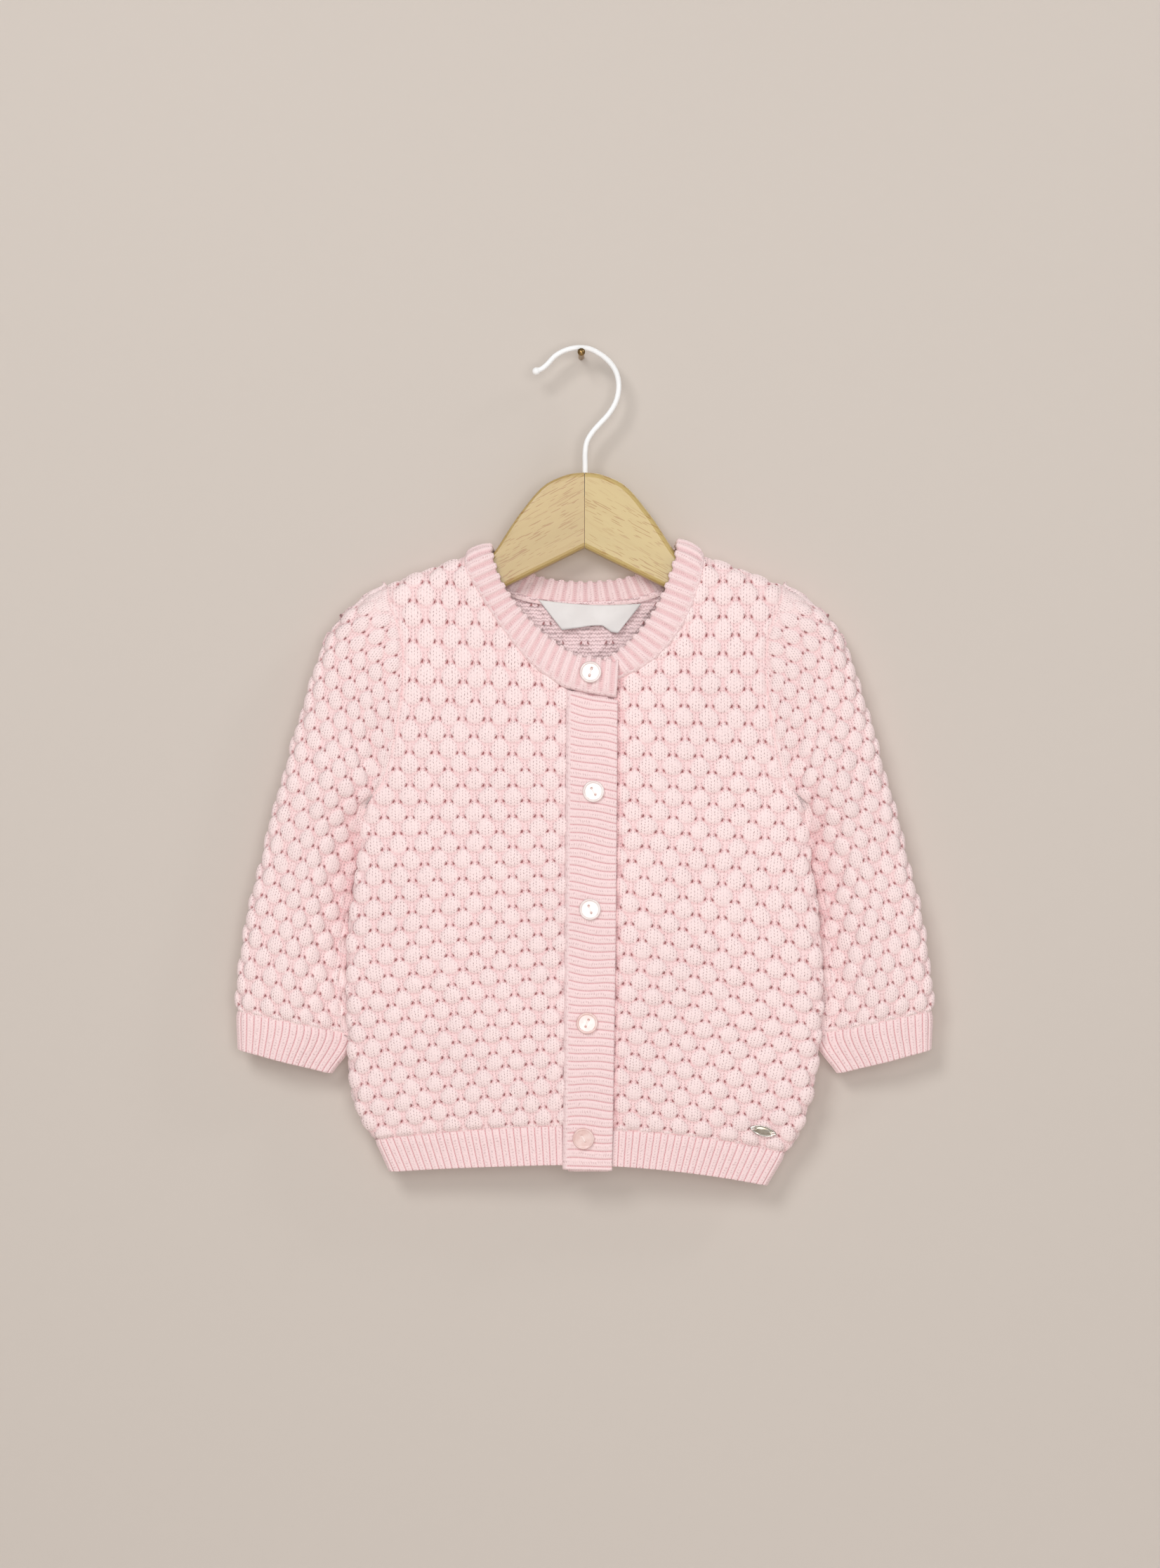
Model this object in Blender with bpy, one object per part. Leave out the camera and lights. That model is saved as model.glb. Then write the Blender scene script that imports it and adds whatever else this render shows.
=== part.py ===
"""Baby cardigan in bubble knit, hanging buttoned on a small wooden hanger.

Millimetres inside the functions, metres in the meshes.  +X is to the right as the
front is seen, the front faces -Y, +Z is up, and z = 0 is the inside of the hook's
crown, where the nail or rail carries it.  "drop" is the distance below that crown.
Left and right in the names are the wearer's, so the right front has negative x.
"""
import math

import bmesh
import bpy
import numpy as np

MM = 0.001
CENTRE_X = 1.7          # the garment's centre line hangs this far right of the crown

GAP = 0.3               # between neighbouring pieces
KNIT = 2.4              # wall of the bubble knit
RIB = 2.2               # wall of the ribbed bands
FRONT, BACK = -1, 1     # direction of a face along Y
RIGHT, LEFT = -1, 1     # direction of a side along X

SHOULDER_FOLD = 9.0     # radius of the cloth where it goes over the hanger
FOLD_LENGTH = SHOULDER_FOLD * math.pi / 2
SHOULDER_TIP = 105.0    # distance from the centre line to the top of the sleeve
UNDERARM_DROP = 243.5
BAND_LIFT = 2.7         # the upper button band stands this far off the front
SEAM_X = (9.9, 12.9)    # front edges of the right and left fronts, from the centre

PINK = (0.86, 0.62, 0.61)
RIB_PINK = (0.88, 0.65, 0.64)
PEARL = (0.86, 0.80, 0.76)
BEECH = (0.66, 0.49, 0.27)
WHITE = (0.80, 0.80, 0.79)
STEEL = (0.58, 0.56, 0.53)


def columns(names, rows):
    """A table as named arrays, one for each column."""
    return dict(zip(names.split(), (np.array(values, float) for values in zip(*rows))))


# The body from the shoulders to the hem: half widths, depth in front of and behind
# the hanger's middle plane, the forward shift of the side folds and their radius.
BODY = columns("drop   right   left  front  back  shift  fold", [
    (100, 115.3, 115.3, 9.4, 9.0, 0.0, 6.5),
    (180, 115.3, 115.3, 11.0, 9.7, 0.0, 6.5),
    (240, 115.3, 115.3, 12.2, 10.4, 0.0, 6.5),
    (270, 118.3, 118.3, 12.8, 10.7, 2.3, 6.5),
    (300, 122.4, 122.4, 13.2, 11.0, 3.0, 6.5),
    (335, 124.3, 124.3, 13.6, 11.2, 3.0, 6.5),
    (360, 123.2, 123.2, 13.7, 11.2, 3.0, 6.5),
    (385, 122.4, 120.2, 13.5, 11.0, 3.0, 6.5),
    (400, 118.4, 116.4, 13.0, 10.6, 2.8, 6.3),
    (412, 113.0, 112.0, 12.2, 9.8, 2.2, 5.6),
    (422, 107.8, 106.8, 11.4, 9.0, 1.6, 4.8),
    (442, 99.0, 95.0, 10.6, 8.4, 1.2, 4.6)])

# Top line of the shoulders, outside of the cloth.
SHOULDER = columns("x  drop", [
    (58, 106.2), (64, 108.2), (78, 113.2), (88, 117.0), (99, 121.2), (106, 124.2), (118, 131)])

# Armhole seam on both faces, from the shoulder to the underarm.  c is the distance
# from the centre line along the cloth, so it runs on round the side fold.
ARMHOLE = columns("drop  c", [
    (120.0, 105.6), (132, 103.4), (141, 100.0), (152, 96.6), (166, 95.6), (180, 96.6),
    (200, 99.4), (216, 102.8), (228, 107.4), (236, 112.2), (241, 116.4), (243.5, 118.8)])

# One sleeve from the shoulder tip to the cuff seam.  "run" is the distance along the
# outer edge, where a row of the knit starts; the row slants down towards the body
# over the width of the tube, with a fold at each end and a crown on each face.
SLEEVE = columns(
    "run   x      drop   slant width outer inner crown_f crown_b mid_outer mid_inner", [
    (0, 104.8, 123.4, 40.0, 72.0, 9.0, 9.0, 0.3, 0.0, 0.0, 0.0),
    (15, 117.5, 131.0, 38.0, 70.0, 9.0, 9.0, 0.3, 0.0, 0.0, 0.0),
    (27, 126.2, 139.0, 36.0, 68.0, 9.0, 9.0, 0.4, 0.2, 0.0, 0.0),
    (39, 134.1, 148.4, 34.0, 66.0, 9.0, 9.0, 0.6, 0.4, 0.0, 0.0),
    (56, 140.6, 164.0, 31.0, 62.5, 8.8, 9.0, 1.0, 0.8, 0.0, 0.0),
    (80, 148.0, 187.2, 27.5, 57.6, 8.4, 9.0, 2.0, 1.6, 0.0, 0.0),
    (98, 153.2, 203.9, 25.0, 53.4, 8.0, 8.4, 3.0, 2.2, -0.3, 0.0),
    (120, 158.9, 226.1, 22.0, 46.2, 7.6, 6.4, 3.8, 2.6, -0.6, 0.0),
    (144, 165.8, 248.3, 20.0, 52.4, 7.4, 4.7, 4.4, 3.0, -1.0, 4.4),
    (166, 170.6, 270.5, 18.5, 54.0, 7.2, 4.6, 4.8, 3.0, -1.2, 5.0),
    (190, 176.4, 292.7, 17.0, 58.0, 7.0, 4.5, 5.0, 3.0, -1.5, 5.0),
    (212, 180.2, 314.9, 15.5, 60.2, 7.0, 4.5, 4.8, 2.9, -1.5, 5.0),
    (234, 183.2, 337.1, 13.5, 63.2, 6.6, 4.5, 4.2, 2.6, -1.0, 4.8),
    (246, 183.6, 348.4, 11.6, 64.0, 6.2, 4.5, 4.0, 2.8, -0.5, 4.6),
    (268, 182.9, 368.6, 14.6, 51.4, 5.0, 4.4, 3.6, 3.0, 0.4, 3.6)])
UNDERARM_RUN = 120
UNDERARM_NORMAL = (0.35, -0.94)
UNDERARM_EASE = 0.35    # the sleeve starts this far out from the body's side seam
SEAM_EASE = 0.15        # share of the sleeve's length that takes up the body's depth
CUFF_RUN = (246.0, 268.0)

# The soft trough where the sleeve folds down at the armpit, on its front and back.
ARMPIT_FOLD = {"x": 114.0, "half_width": 5.5, "depth": 4.2, "starts": 182.0, "full": 238.0}

# Half of the neckband on the front: the seam to the body and the free edge, each as
# distance from the centre line and drop, with the reach in front of the hanger.
# The right half ends on top at the centre front, the left half ends under it.
NECK_RIGHT = columns("k  seam_x  seam_drop  free_x  free_drop  reach", [
    (0, 63.2, 107.2, 48.8, 100.8, 0.0),
    (1, 63.8, 110.2, 48.6, 103.0, 6.6),
    (2, 63.2, 116.2, 47.3, 108.6, 9.5),
    (3, 58.5, 124.6, 44.6, 118.0, 9.9),
    (4, 50.8, 137.2, 37.9, 130.0, 10.3),
    (5, 39.0, 153.9, 28.7, 141.2, 10.9),
    (6, 27.0, 167.0, 18.6, 150.6, 11.8),
    (7, 17.5, 174.0, 10.6, 156.4, 12.8),
    (8, 9.9, 178.2, 4.0, 160.0, 13.4),
    (9, -3.0, 181.4, -6.0, 161.8, 13.8),
    (10, -16.8, 183.6, -18.0, 163.4, 13.9)])
NECK_LEFT = columns("k  seam_x  seam_drop  free_x  free_drop  reach", [
    (0, 63.2, 107.2, 48.8, 100.8, 0.0),
    (1, 63.6, 110.6, 48.2, 103.6, 6.6),
    (2, 62.9, 117.0, 46.9, 109.6, 9.5),
    (3, 60.2, 126.6, 43.6, 120.0, 9.9),
    (4, 55.6, 138.8, 38.6, 131.8, 10.2),
    (5, 47.6, 152.6, 31.6, 143.2, 10.6),
    (6, 36.0, 164.6, 22.6, 153.2, 10.9),
    (7, 24.2, 171.4, 15.2, 159.4, 11.0),
    (8, 12.9, 175.6, 8.0, 162.6, 11.1),
    (9, 2.0, 178.0, 0.0, 164.2, 11.1),
    (10, -8.6, 179.2, -8.0, 165.0, 11.1)])
# The same on the back, the shoulder first and the centre back last.
NECK_BACK = columns("k  seam_x  seam_drop  free_x  free_drop  reach", [
    (0, 63.2, 107.2, 48.8, 100.8, 0.0),
    (1, 62.4, 110.6, 47.6, 103.8, 6.4),
    (2, 58.5, 116.8, 44.5, 108.6, 9.1),
    (3, 51.0, 123.2, 38.5, 112.6, 9.6),
    (4, 40.0, 129.0, 31.0, 115.8, 9.8),
    (5, 27.0, 132.8, 21.5, 118.9, 9.9),
    (6, 14.0, 134.4, 11.0, 120.6, 9.9),
    (7, 0.0, 134.9, 0.0, 121.2, 9.9)])
NECK_CORNER = 8         # station of the neckband where the front edge of a front meets it
NECK_CROWN = 1.6        # the band is softly domed across its width
NECK_TILT = 1.3         # its free edge stands this much higher at the left shoulder

# Seam of the hem rib on each face: drop at the front edge, its fall to the side, and
# the same for the lower edge.
HEM = {(FRONT, RIGHT): (408.0, 8.4, 428.4, 4.4), (FRONT, LEFT): (410.2, 13.4, 429.0, 11.4),
       (BACK, RIGHT): (408.6, 7.8, 429.4, 3.4), (BACK, LEFT): (408.6, 15.0, 429.4, 11.0)}
RIB_INSET = 0.9         # the ribs lie this far inside the bubbles

BAND = columns("drop  seam  free", [
    (176, 9.5, 17.4), (300, 10.4, 16.4), (400, 11.2, 15.0), (431, 11.6, 14.4)])
UNDER_BAND = {"x": (-8.8, 12.6), "top": 179.6, "bottom": 431.6}

BUTTONS = columns("x  drop", [(3.1, 170.0), (4.6, 232.4), (2.8, 294.0), (1.3, 353.4), (-0.6, 413.8)])
BUTTON_RADIUS = 5.7
BUTTON_THICK = 2.3
NECK_BUTTON_SEAT = -15.7

LABEL = {"top_drop": (131.2, 133.2), "bottom_drop": (147.6, 148.8),
         "top_x": (-24.4, 30.2), "bottom_x": (-12.1, 16.6), "thick": 0.8}
PLATE = {"c": 93.6, "drop": 410.2, "half_length": 6.95, "half_width": 3.2, "thick": 1.0,
         "tilt": math.radians(-15)}

WOOD = 5.5              # half thickness of the hanger
WOOD_BEVEL = 2.5
HEAD = [(0.0, 64.6), (6.5, 65.1), (12.8, 67.0), (20.0, 70.5), (26.0, 76.1), (30.6, 81.8),
        (36.2, 89.2), (41.2, 96.8), (45.0, 102.8), (49.0, 108.2), (55.5, 112.8), (64.0, 115.4),
        (78.0, 118.6), (88.0, 122.3), (96.0, 125.4)]
ARM_END = {"centre": (96.0, 133.8), "radius": 8.6}
ARM_BOTTOM = [(88.0, 143.8), (74.0, 140.0), (60.0, 134.0), (41.5, 124.8), (20.0, 114.2), (0.0, 104.4)]

WIRE = 1.4
SOCKET = 12.0           # the shank goes this far down into the wood
HOOK = [(-23.8, -11.0), (-20.8, -9.7), (-18.2, -7.6), (-14.1, -3.2), (-9.2, -0.3), (-4.4, 1.1),
        (0.0, WIRE), (4.2, 0.8), (9.7, -1.9), (14.7, -6.0), (18.1, -10.9), (19.6, -16.6),
        (19.4, -22.6), (17.6, -28.4), (14.2, -33.8), (9.7, -38.7), (5.6, -43.4), (2.9, -48.2),
        (2.0, -53.6), (2.0, -60.0), (2.0, -64.6 - SOCKET)]
HOOK_BALL = 2.1


# ------------------------------------------------------------------ curves and surfaces

def smooth(x, xs, ys):
    """Cubic through a table's rows, without overshoot and level past its ends."""
    slope = np.diff(ys) / np.diff(xs)
    before, after = slope[:-1], slope[1:]
    same = before * after > 0
    inner = np.where(same, 2 * before * after / np.where(same, before + after, 1), 0)
    tangent = np.concatenate([slope[:1], inner, slope[-1:]])
    x = np.clip(x, xs[0], xs[-1])
    i = np.clip(np.searchsorted(xs, x, side="right") - 1, 0, len(xs) - 2)
    h = xs[i + 1] - xs[i]
    t = (x - xs[i]) / h
    return ((1 + 2 * t) * (1 - t) ** 2 * ys[i] + t * (1 - t) ** 2 * h * tangent[i]
            + t * t * (3 - 2 * t) * ys[i + 1] + t * t * (t - 1) * h * tangent[i + 1])


def read(table, name, at):
    """One column of a table at a value of its first column."""
    key = next(iter(table))
    return smooth(np.asarray(at, float), table[key], table[name])


def ease(q):
    """Rises smoothly from 0 to 1 as q does."""
    q = np.clip(q, 0, 1)
    return q * q * (3 - 2 * q)


def half_width(drop, c):
    return np.where(c < 0, read(BODY, "right", drop), read(BODY, "left", drop))


def fold_start(x):
    """Drop at which the cloth begins to roll over the shoulder."""
    return read(SHOULDER, "drop", np.abs(x)) + SHOULDER_FOLD


def shoulder_v(x):
    """Unrolled drop of the shoulder seam."""
    return fold_start(x) - FOLD_LENGTH


def side_c(drop, side):
    """Distance from the centre line along the cloth to the side seam."""
    fold = read(BODY, "fold", drop)
    return half_width(drop, np.asarray(side, float)) + fold * (math.pi / 2 - 1)


def depth(face, x, drop):
    """How far the face stands from the hanger's middle plane."""
    fold = read(BODY, "fold", drop)
    shift = read(BODY, "shift", drop)
    shoulders = ease((drop - 200) / 45)
    at_side = SHOULDER_FOLD + (fold - face * shift - SHOULDER_FOLD) * shoulders
    middle = read(BODY, "front" if face == FRONT else "back", drop)
    reach = half_width(drop, x) - fold
    return at_side + (middle - at_side) * (1 - ease((np.abs(x) / reach - 0.25) / 0.75))


def body(face, c, v):
    """Point of the body's outer surface, c along the cloth and v down it, unrolled."""
    c, v = np.broadcast_arrays(np.asarray(c, float), np.asarray(v, float))
    start = fold_start(c)
    over = np.clip((start - v) / SHOULDER_FOLD, 0, 1.8)
    drop = np.where(v < start, start - SHOULDER_FOLD * np.sin(over), v)
    level = np.maximum(v, start)
    fold = read(BODY, "fold", level)
    flat = half_width(level, c) - fold
    turn = np.clip((np.abs(c) - flat) / fold, 0, 1.8)
    x = np.where(turn > 0, flat + fold * np.sin(turn), np.abs(c)) * np.sign(c)
    reach = depth(face, np.sign(c) * np.minimum(np.abs(c), flat), level)
    y = face * (reach * np.cos(over) - fold * (1 - np.cos(turn)))
    return np.stack([x, y, -drop], axis=-1)


def sleeve(side, run, ring, face):
    """Point of a sleeve: run down its outer edge, ring from that edge (0) to the inner (1)."""
    run, ring = np.broadcast_arrays(np.asarray(run, float), np.asarray(ring, float))
    s = {name: read(SLEEVE, name, run) for name in SLEEVE if name != "run"}
    outer, inner, quarter = s["outer"], s["inner"], math.pi / 2
    flat = s["width"] - outer - inner
    along = ring * (quarter * (outer + inner) + flat)
    u = np.clip((along - quarter * outer) / flat, 0, 1)
    first = np.clip(quarter - along / outer, -0.3, quarter)
    last = np.clip((along - quarter * outer - flat) / inner, 0, quarter + 0.3)
    across = np.where(first > 0, outer * (1 - np.sin(first)), outer + u * flat)
    across = np.where(last > 0, s["width"] - inner * (1 - np.sin(last)), across)
    across = np.where(along < 0, outer * (1 - np.sin(quarter - along / outer)), across)
    half = outer + (inner - outer) * u
    crown = s["crown_f"] if face == FRONT else s["crown_b"]
    mid = s["mid_outer"] + (s["mid_inner"] - s["mid_outer"]) * ease(u)
    roll = np.where(last > 0, np.cos(last), np.cos(np.maximum(first, 0)))
    roll = np.where(along < 0, np.cos(quarter - along / outer), roll)
    slant = np.radians(s["slant"])
    x = s["x"] - across * np.cos(slant)
    drop = s["drop"] + across * np.sin(slant)
    trough = ARMPIT_FOLD["depth"] * ease(
        (drop - ARMPIT_FOLD["starts"]) / (ARMPIT_FOLD["full"] - ARMPIT_FOLD["starts"]))
    trough = trough * (1 - ease((drop - 240) / 14)) * np.exp(
        -((x - ARMPIT_FOLD["x"]) / ARMPIT_FOLD["half_width"]) ** 2)
    reach = half * roll + crown * np.sin(math.pi * u) ** 2 - trough * roll
    return np.stack([side * x, mid + face * reach, -drop], axis=-1)


def on_sleeve(x, y, drop):
    """Run and ring of the sleeve's point that lies at a point of the armhole."""
    low, high = np.zeros(np.shape(x)), np.full(np.shape(x), CUFF_RUN[0])
    for _ in range(40):
        run = (low + high) / 2
        slant = np.radians(read(SLEEVE, "slant", run))
        below = ((x - read(SLEEVE, "x", run)) * np.sin(slant)
                 + (drop - read(SLEEVE, "drop", run)) * np.cos(slant))
        low, high = np.where(below > 0, run, low), np.where(below > 0, high, run)
    across = np.hypot(x - read(SLEEVE, "x", run), drop - read(SLEEVE, "drop", run))
    outer, inner = read(SLEEVE, "outer", run), read(SLEEVE, "inner", run)
    width = read(SLEEVE, "width", run)
    quarter = math.pi / 2
    total = quarter * (outer + inner) + width - outer - inner
    first = outer * (quarter - np.arcsin(np.clip(1 - across / outer, 0, 1)))
    last = inner * np.arccos(np.clip(np.abs(y) / inner, 0, 1))
    along = np.where(across < outer, first, quarter * outer + across - outer)
    along = np.where(across > width - inner, total - quarter * inner + last, along)
    return run, np.clip(along / total, 0, 1)


def normals_of(surface, p, q, step_p, step_q, away):
    """Unit normals of a surface of two parameters, turned to the side of "away"."""
    along_p = surface(p + step_p, q) - surface(p - step_p, q)
    along_q = surface(p, q + step_q) - surface(p, q - step_q)
    normal = np.cross(along_p, along_q)
    normal /= np.linalg.norm(normal, axis=-1, keepdims=True)
    flip = np.sign(np.sum(normal * away(surface(p, q)), axis=-1, keepdims=True))
    return normal * np.where(flip == 0, 1, flip)


def grid_normals(grid, row, away):
    """Unit normals of a grid of points, on the side where one row's look along "away"."""
    normal = np.cross(np.gradient(grid, axis=0), np.gradient(grid, axis=1))
    normal /= np.linalg.norm(normal, axis=-1, keepdims=True)
    return normal * np.sign(np.sum(normal[row] * away))


# ------------------------------------------------------------------ meshes

def material(name, colour, roughness, metallic=0.0):
    made = bpy.data.materials.get(name)
    if made is None:
        made = bpy.data.materials.new(name)
        made.use_nodes = True
        shader = made.node_tree.nodes["Principled BSDF"]
        shader.inputs["Base Color"].default_value = (*colour, 1)
        shader.inputs["Roughness"].default_value = roughness
        shader.inputs["Metallic"].default_value = metallic
        made.diffuse_color = (*colour, 1)
    return made


def add_object(name, mesh, look, smooth_angle=40):
    mesh.materials.append(material(*look))
    mesh.shade_smooth()
    mesh.set_sharp_from_angle(angle=math.radians(smooth_angle))
    made = bpy.data.objects.new(name, mesh)
    bpy.context.scene.collection.objects.link(made)
    return made


def solid(name, points, faces, look, centred=True):
    """One closed object from points in millimetres and faces, facing out."""
    shift = CENTRE_X if centred else 0.0
    mesh = bpy.data.meshes.new(name)
    mesh.from_pydata([((x + shift) * MM, y * MM, z * MM) for x, y, z in points], [], faces)
    work = bmesh.new()
    work.from_mesh(mesh)
    bmesh.ops.recalc_face_normals(work, faces=work.faces)
    if work.calc_volume(signed=True) < 0:
        bmesh.ops.reverse_faces(work, faces=work.faces)
    work.to_mesh(mesh)
    work.free()
    return add_object(name, mesh, look)


def wall(name, outer, normal, thick, look, ring=False):
    """A wall of cloth: a grid of outer points, the same grid moved in, and its rims.

    A rim's quads are split along the shorter diagonal, so that two rims that face each
    other across a seam are split alike.
    """
    rows, across = outer.shape[:2]
    inner = outer - normal * thick
    points = np.concatenate([outer.reshape(-1, 3), inner.reshape(-1, 3)])
    under = rows * across
    faces, rims = [], []
    last = across if ring else across - 1
    for i in range(rows - 1):
        for j in range(last):
            a, b = i * across + j, i * across + (j + 1) % across
            c, d = b + across, a + across
            faces.append((a, b, c, d))
            faces.append((under + d, under + c, under + b, under + a))
    for j in range(last):
        for first in (0, under - across):
            rims.append((first + j, first + (j + 1) % across))
    if not ring:
        for i in range(rows - 1):
            for first in (0, across - 1):
                rims.append((i * across + first, (i + 1) * across + first))
    for a, b in rims:
        if np.linalg.norm(points[a] - points[under + b]) < np.linalg.norm(points[b] - points[under + a]):
            faces += [(a, b, under + b), (a, under + b, under + a)]
        else:
            faces += [(a, b, under + a), (b, under + b, under + a)]
    return solid(name, points, faces, look)


def outward(face):
    """Away from the body's middle: mostly along Y, and sideways and up at the folds."""
    return lambda p: np.stack([p[..., 0] * 0.02, np.full(p.shape[:-1], face * 1.0),
                               np.full(p.shape[:-1], 0.05)], axis=-1)


def body_wall(name, face, c, v, thick, look, inset=0.0):
    def surface(p, q):
        return body(face, p, q)
    normal = normals_of(surface, c, v, 0.05, 0.05, outward(face))
    return wall(name, surface(c, v) - normal * inset, normal, thick, look)


# ------------------------------------------------------------------ the pieces of cloth

FOLD_ROWS, ARM_ROWS, SIDE_ROWS = 3, 10, 9
ARMHOLE_END = FOLD_ROWS + ARM_ROWS
FOLD_STEPS = 3
KNIT_LOOK = ("bubble_knit", PINK, 0.9)
RIB_LOOK = ("rib_knit", RIB_PINK, 0.9)


def outer_boundary(side):
    """Armhole and side seam of a panel: c and v for each row, shoulder to hem.

    Also the direction across the armhole, towards the sleeve, in the unrolled cloth.
    """
    rolled = shoulder_v(SHOULDER_TIP) + np.arange(FOLD_ROWS) * FOLD_LENGTH / FOLD_ROWS
    start = fold_start(SHOULDER_TIP)
    arm = start + (UNDERARM_DROP - start) * (1 - np.linspace(1, 0, ARM_ROWS + 1) ** 1.4)
    hem = HEM[(FRONT, side)][0] + HEM[(FRONT, side)][1]
    below = np.linspace(UNDERARM_DROP, hem, SIDE_ROWS + 1)[1:]
    v = np.concatenate([rolled, arm, below])
    c = np.where(v <= UNDERARM_DROP, read(ARMHOLE, "c", v), side_c(v, side))
    c[:FOLD_ROWS + 1] = np.linspace(SHOULDER_TIP, read(ARMHOLE, "c", start), FOLD_ROWS + 1)
    ahead = np.stack([np.gradient(v), -np.gradient(c)], axis=-1)
    ahead[ARMHOLE_END] = v[ARMHOLE_END] - v[ARMHOLE_END - 1], c[ARMHOLE_END - 1] - c[ARMHOLE_END]
    ahead[ARMHOLE_END + 1:] = 0
    length = np.linalg.norm(ahead, axis=-1, keepdims=True)
    return c, v, ahead / np.maximum(length, 1) * GAP / 2


def panel_edge(side):
    """The same for the edge of a panel, half a gap inside the armhole and side seams."""
    c, v, ahead = outer_boundary(side)
    return np.where(v < UNDERARM_DROP, c - ahead[:, 0], c - seam_inset(v, KNIT)), v - ahead[:, 1]


def hem_drop(face, side, a, edge):
    """Drop of the rib's seam or of the lower edge, a from the centre to the side."""
    seam, seam_fall, low, low_fall = HEM[(face, side)]
    return seam + seam_fall * a ** 1.8 if edge == "seam" else low + low_fall * a ** 1.6


def neck_on_front(table, side):
    """Inner boundary of a front: neckline for each row, then its straight front edge."""
    k = np.concatenate([np.linspace(0, 2, FOLD_ROWS + 1), np.linspace(2, NECK_CORNER, 7)[1:]])
    c = read(table, "seam_x", k) + GAP
    v = read(table, "seam_drop", k) + GAP
    v[:FOLD_ROWS + 1] = shoulder_v(c[0]) + np.arange(FOLD_ROWS + 1) * FOLD_LENGTH / FOLD_ROWS
    corner = v[-1]
    edge = SEAM_X[0] if side == RIGHT else SEAM_X[1]
    c[-1] = edge + GAP / 2
    rows = FOLD_ROWS + ARM_ROWS + SIDE_ROWS + 1
    below = np.linspace(corner, HEM[(FRONT, side)][0], rows - len(v) + 1)[1:]
    return np.concatenate([c, np.full(len(below), edge + GAP / 2)]), np.concatenate([v, below])


def front(name, side, table):
    in_c, in_v = neck_on_front(table, side)
    out_c, out_v = panel_edge(side)
    flat = np.linspace(0, 0.90, 9)
    a = np.concatenate([flat, 0.90 + 0.10 * np.arange(1, FOLD_STEPS + 1) / FOLD_STEPS])
    c = in_c[:, None] + (out_c - in_c)[:, None] * a
    v = in_v[:, None] + (out_v - in_v)[:, None] * a
    bend = np.linspace(0, 1, len(in_v))[:, None] ** 3
    v = v * (1 - bend) + (v - (out_v - in_v)[:, None] * (a - a ** 1.8)) * bend
    v[0] += GAP / 2
    body_wall(name, FRONT, side * c, v, KNIT, KNIT_LOOK)
    hem_c, hem_v = side * c[-1], v[-1]
    rib_wall(f"hem_rib_{name}", FRONT, side, hem_c, hem_v, a)


def seam_inset(drop, thick):
    """Half the gap of a side seam, kept even through a wall that bends round the side."""
    fold = read(BODY, "fold", drop)
    return GAP / 2 * fold / (fold - thick)


def rib_rows(face, side, hem_c, hem_v, a):
    """c and v of the rib's rows: the panel's last row, halfway, and the lower edge."""
    low_v = hem_drop(face, side, a, "low")
    low_edge = low_v[np.argmax(a)]
    shrink = side_c(low_edge, side) / side_c(np.max(hem_v), side)
    inner = np.min(np.abs(hem_c))
    low_c = inner + (np.abs(hem_c) - inner) * (np.max(np.abs(hem_c)) * shrink - inner) / (
        np.max(np.abs(hem_c)) - inner)
    pull = 1.4 * seam_inset(low_edge, RIB + RIB_INSET) * a
    share = np.array([0.0, 0.5, 1.0])[:, None]
    c = (np.abs(hem_c) * (1 - share) + low_c * share - pull) * side
    gap = GAP * (1 + 1.5 * a)
    return c, (hem_v + gap) * (1 - share) + low_v * share


def rib_wall(name, face, side, hem_c, hem_v, a):
    """The rib below a panel's last row, narrowing with the body to its lower edge."""
    c, v = rib_rows(face, side, hem_c, hem_v, a)
    body_wall(name, face, c, v, RIB, RIB_LOOK, inset=RIB_INSET)


def back():
    """The back in one piece from side to side, and its rib."""
    neck_c = NECK_BACK["seam_x"][::-1] + np.array([0, 0, 0, 0.1, 0.2, 0.25, GAP, GAP])
    neck_v = NECK_BACK["seam_drop"][::-1] + GAP + 0.1
    over = math.acos(NECK_BACK["reach"][1] / SHOULDER_FOLD)
    neck_v[-2] = fold_start(neck_c[-2]) - SHOULDER_FOLD * over + 2 * GAP
    wing_c = np.array([77.0, 90.0])
    side_fold_c = SHOULDER_TIP * (0.905 + 0.095 * np.arange(FOLD_STEPS + 1) / FOLD_STEPS)
    seam_c = np.concatenate([neck_c[-1:], wing_c, side_fold_c])
    top_c = np.concatenate([neck_c[:-1], seam_c])
    top_v = np.concatenate([neck_v[:-1], shoulder_v(seam_c) + GAP / 2])
    a = top_c / SHOULDER_TIP

    def half(side):
        edge_c, edge_v = panel_edge(side)
        rolled_by = np.minimum(np.arange(len(edge_v)), FOLD_ROWS) * FOLD_LENGTH / FOLD_ROWS
        share = np.clip((edge_v - edge_v[FOLD_ROWS]) / (edge_v[-1] - edge_v[FOLD_ROWS]), 0, 1)
        end = hem_drop(BACK, side, a, "seam") + (edge_v[-1] - hem_drop(BACK, side, 1.0, "seam")) * a
        v = top_v + rolled_by[:, None] + share[:, None] * (end - top_v - FOLD_LENGTH)
        v[:, -1] = edge_v
        v[0, -1] += GAP / 2
        return side * edge_c[:, None] * a, v

    def whole(right, left):
        return [np.concatenate([r[:, :0:-1], l], axis=1) for r, l in zip(right, left)]

    halves = half(RIGHT), half(LEFT)
    body_wall("back", BACK, *whole(*halves), KNIT, KNIT_LOOK)
    ribs = [rib_rows(BACK, side, c[-1], v[-1], a) for side, (c, v) in zip((RIGHT, LEFT), halves)]
    body_wall("hem_rib_back", BACK, *whole(*ribs), RIB, RIB_LOOK, inset=RIB_INSET)


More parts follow.
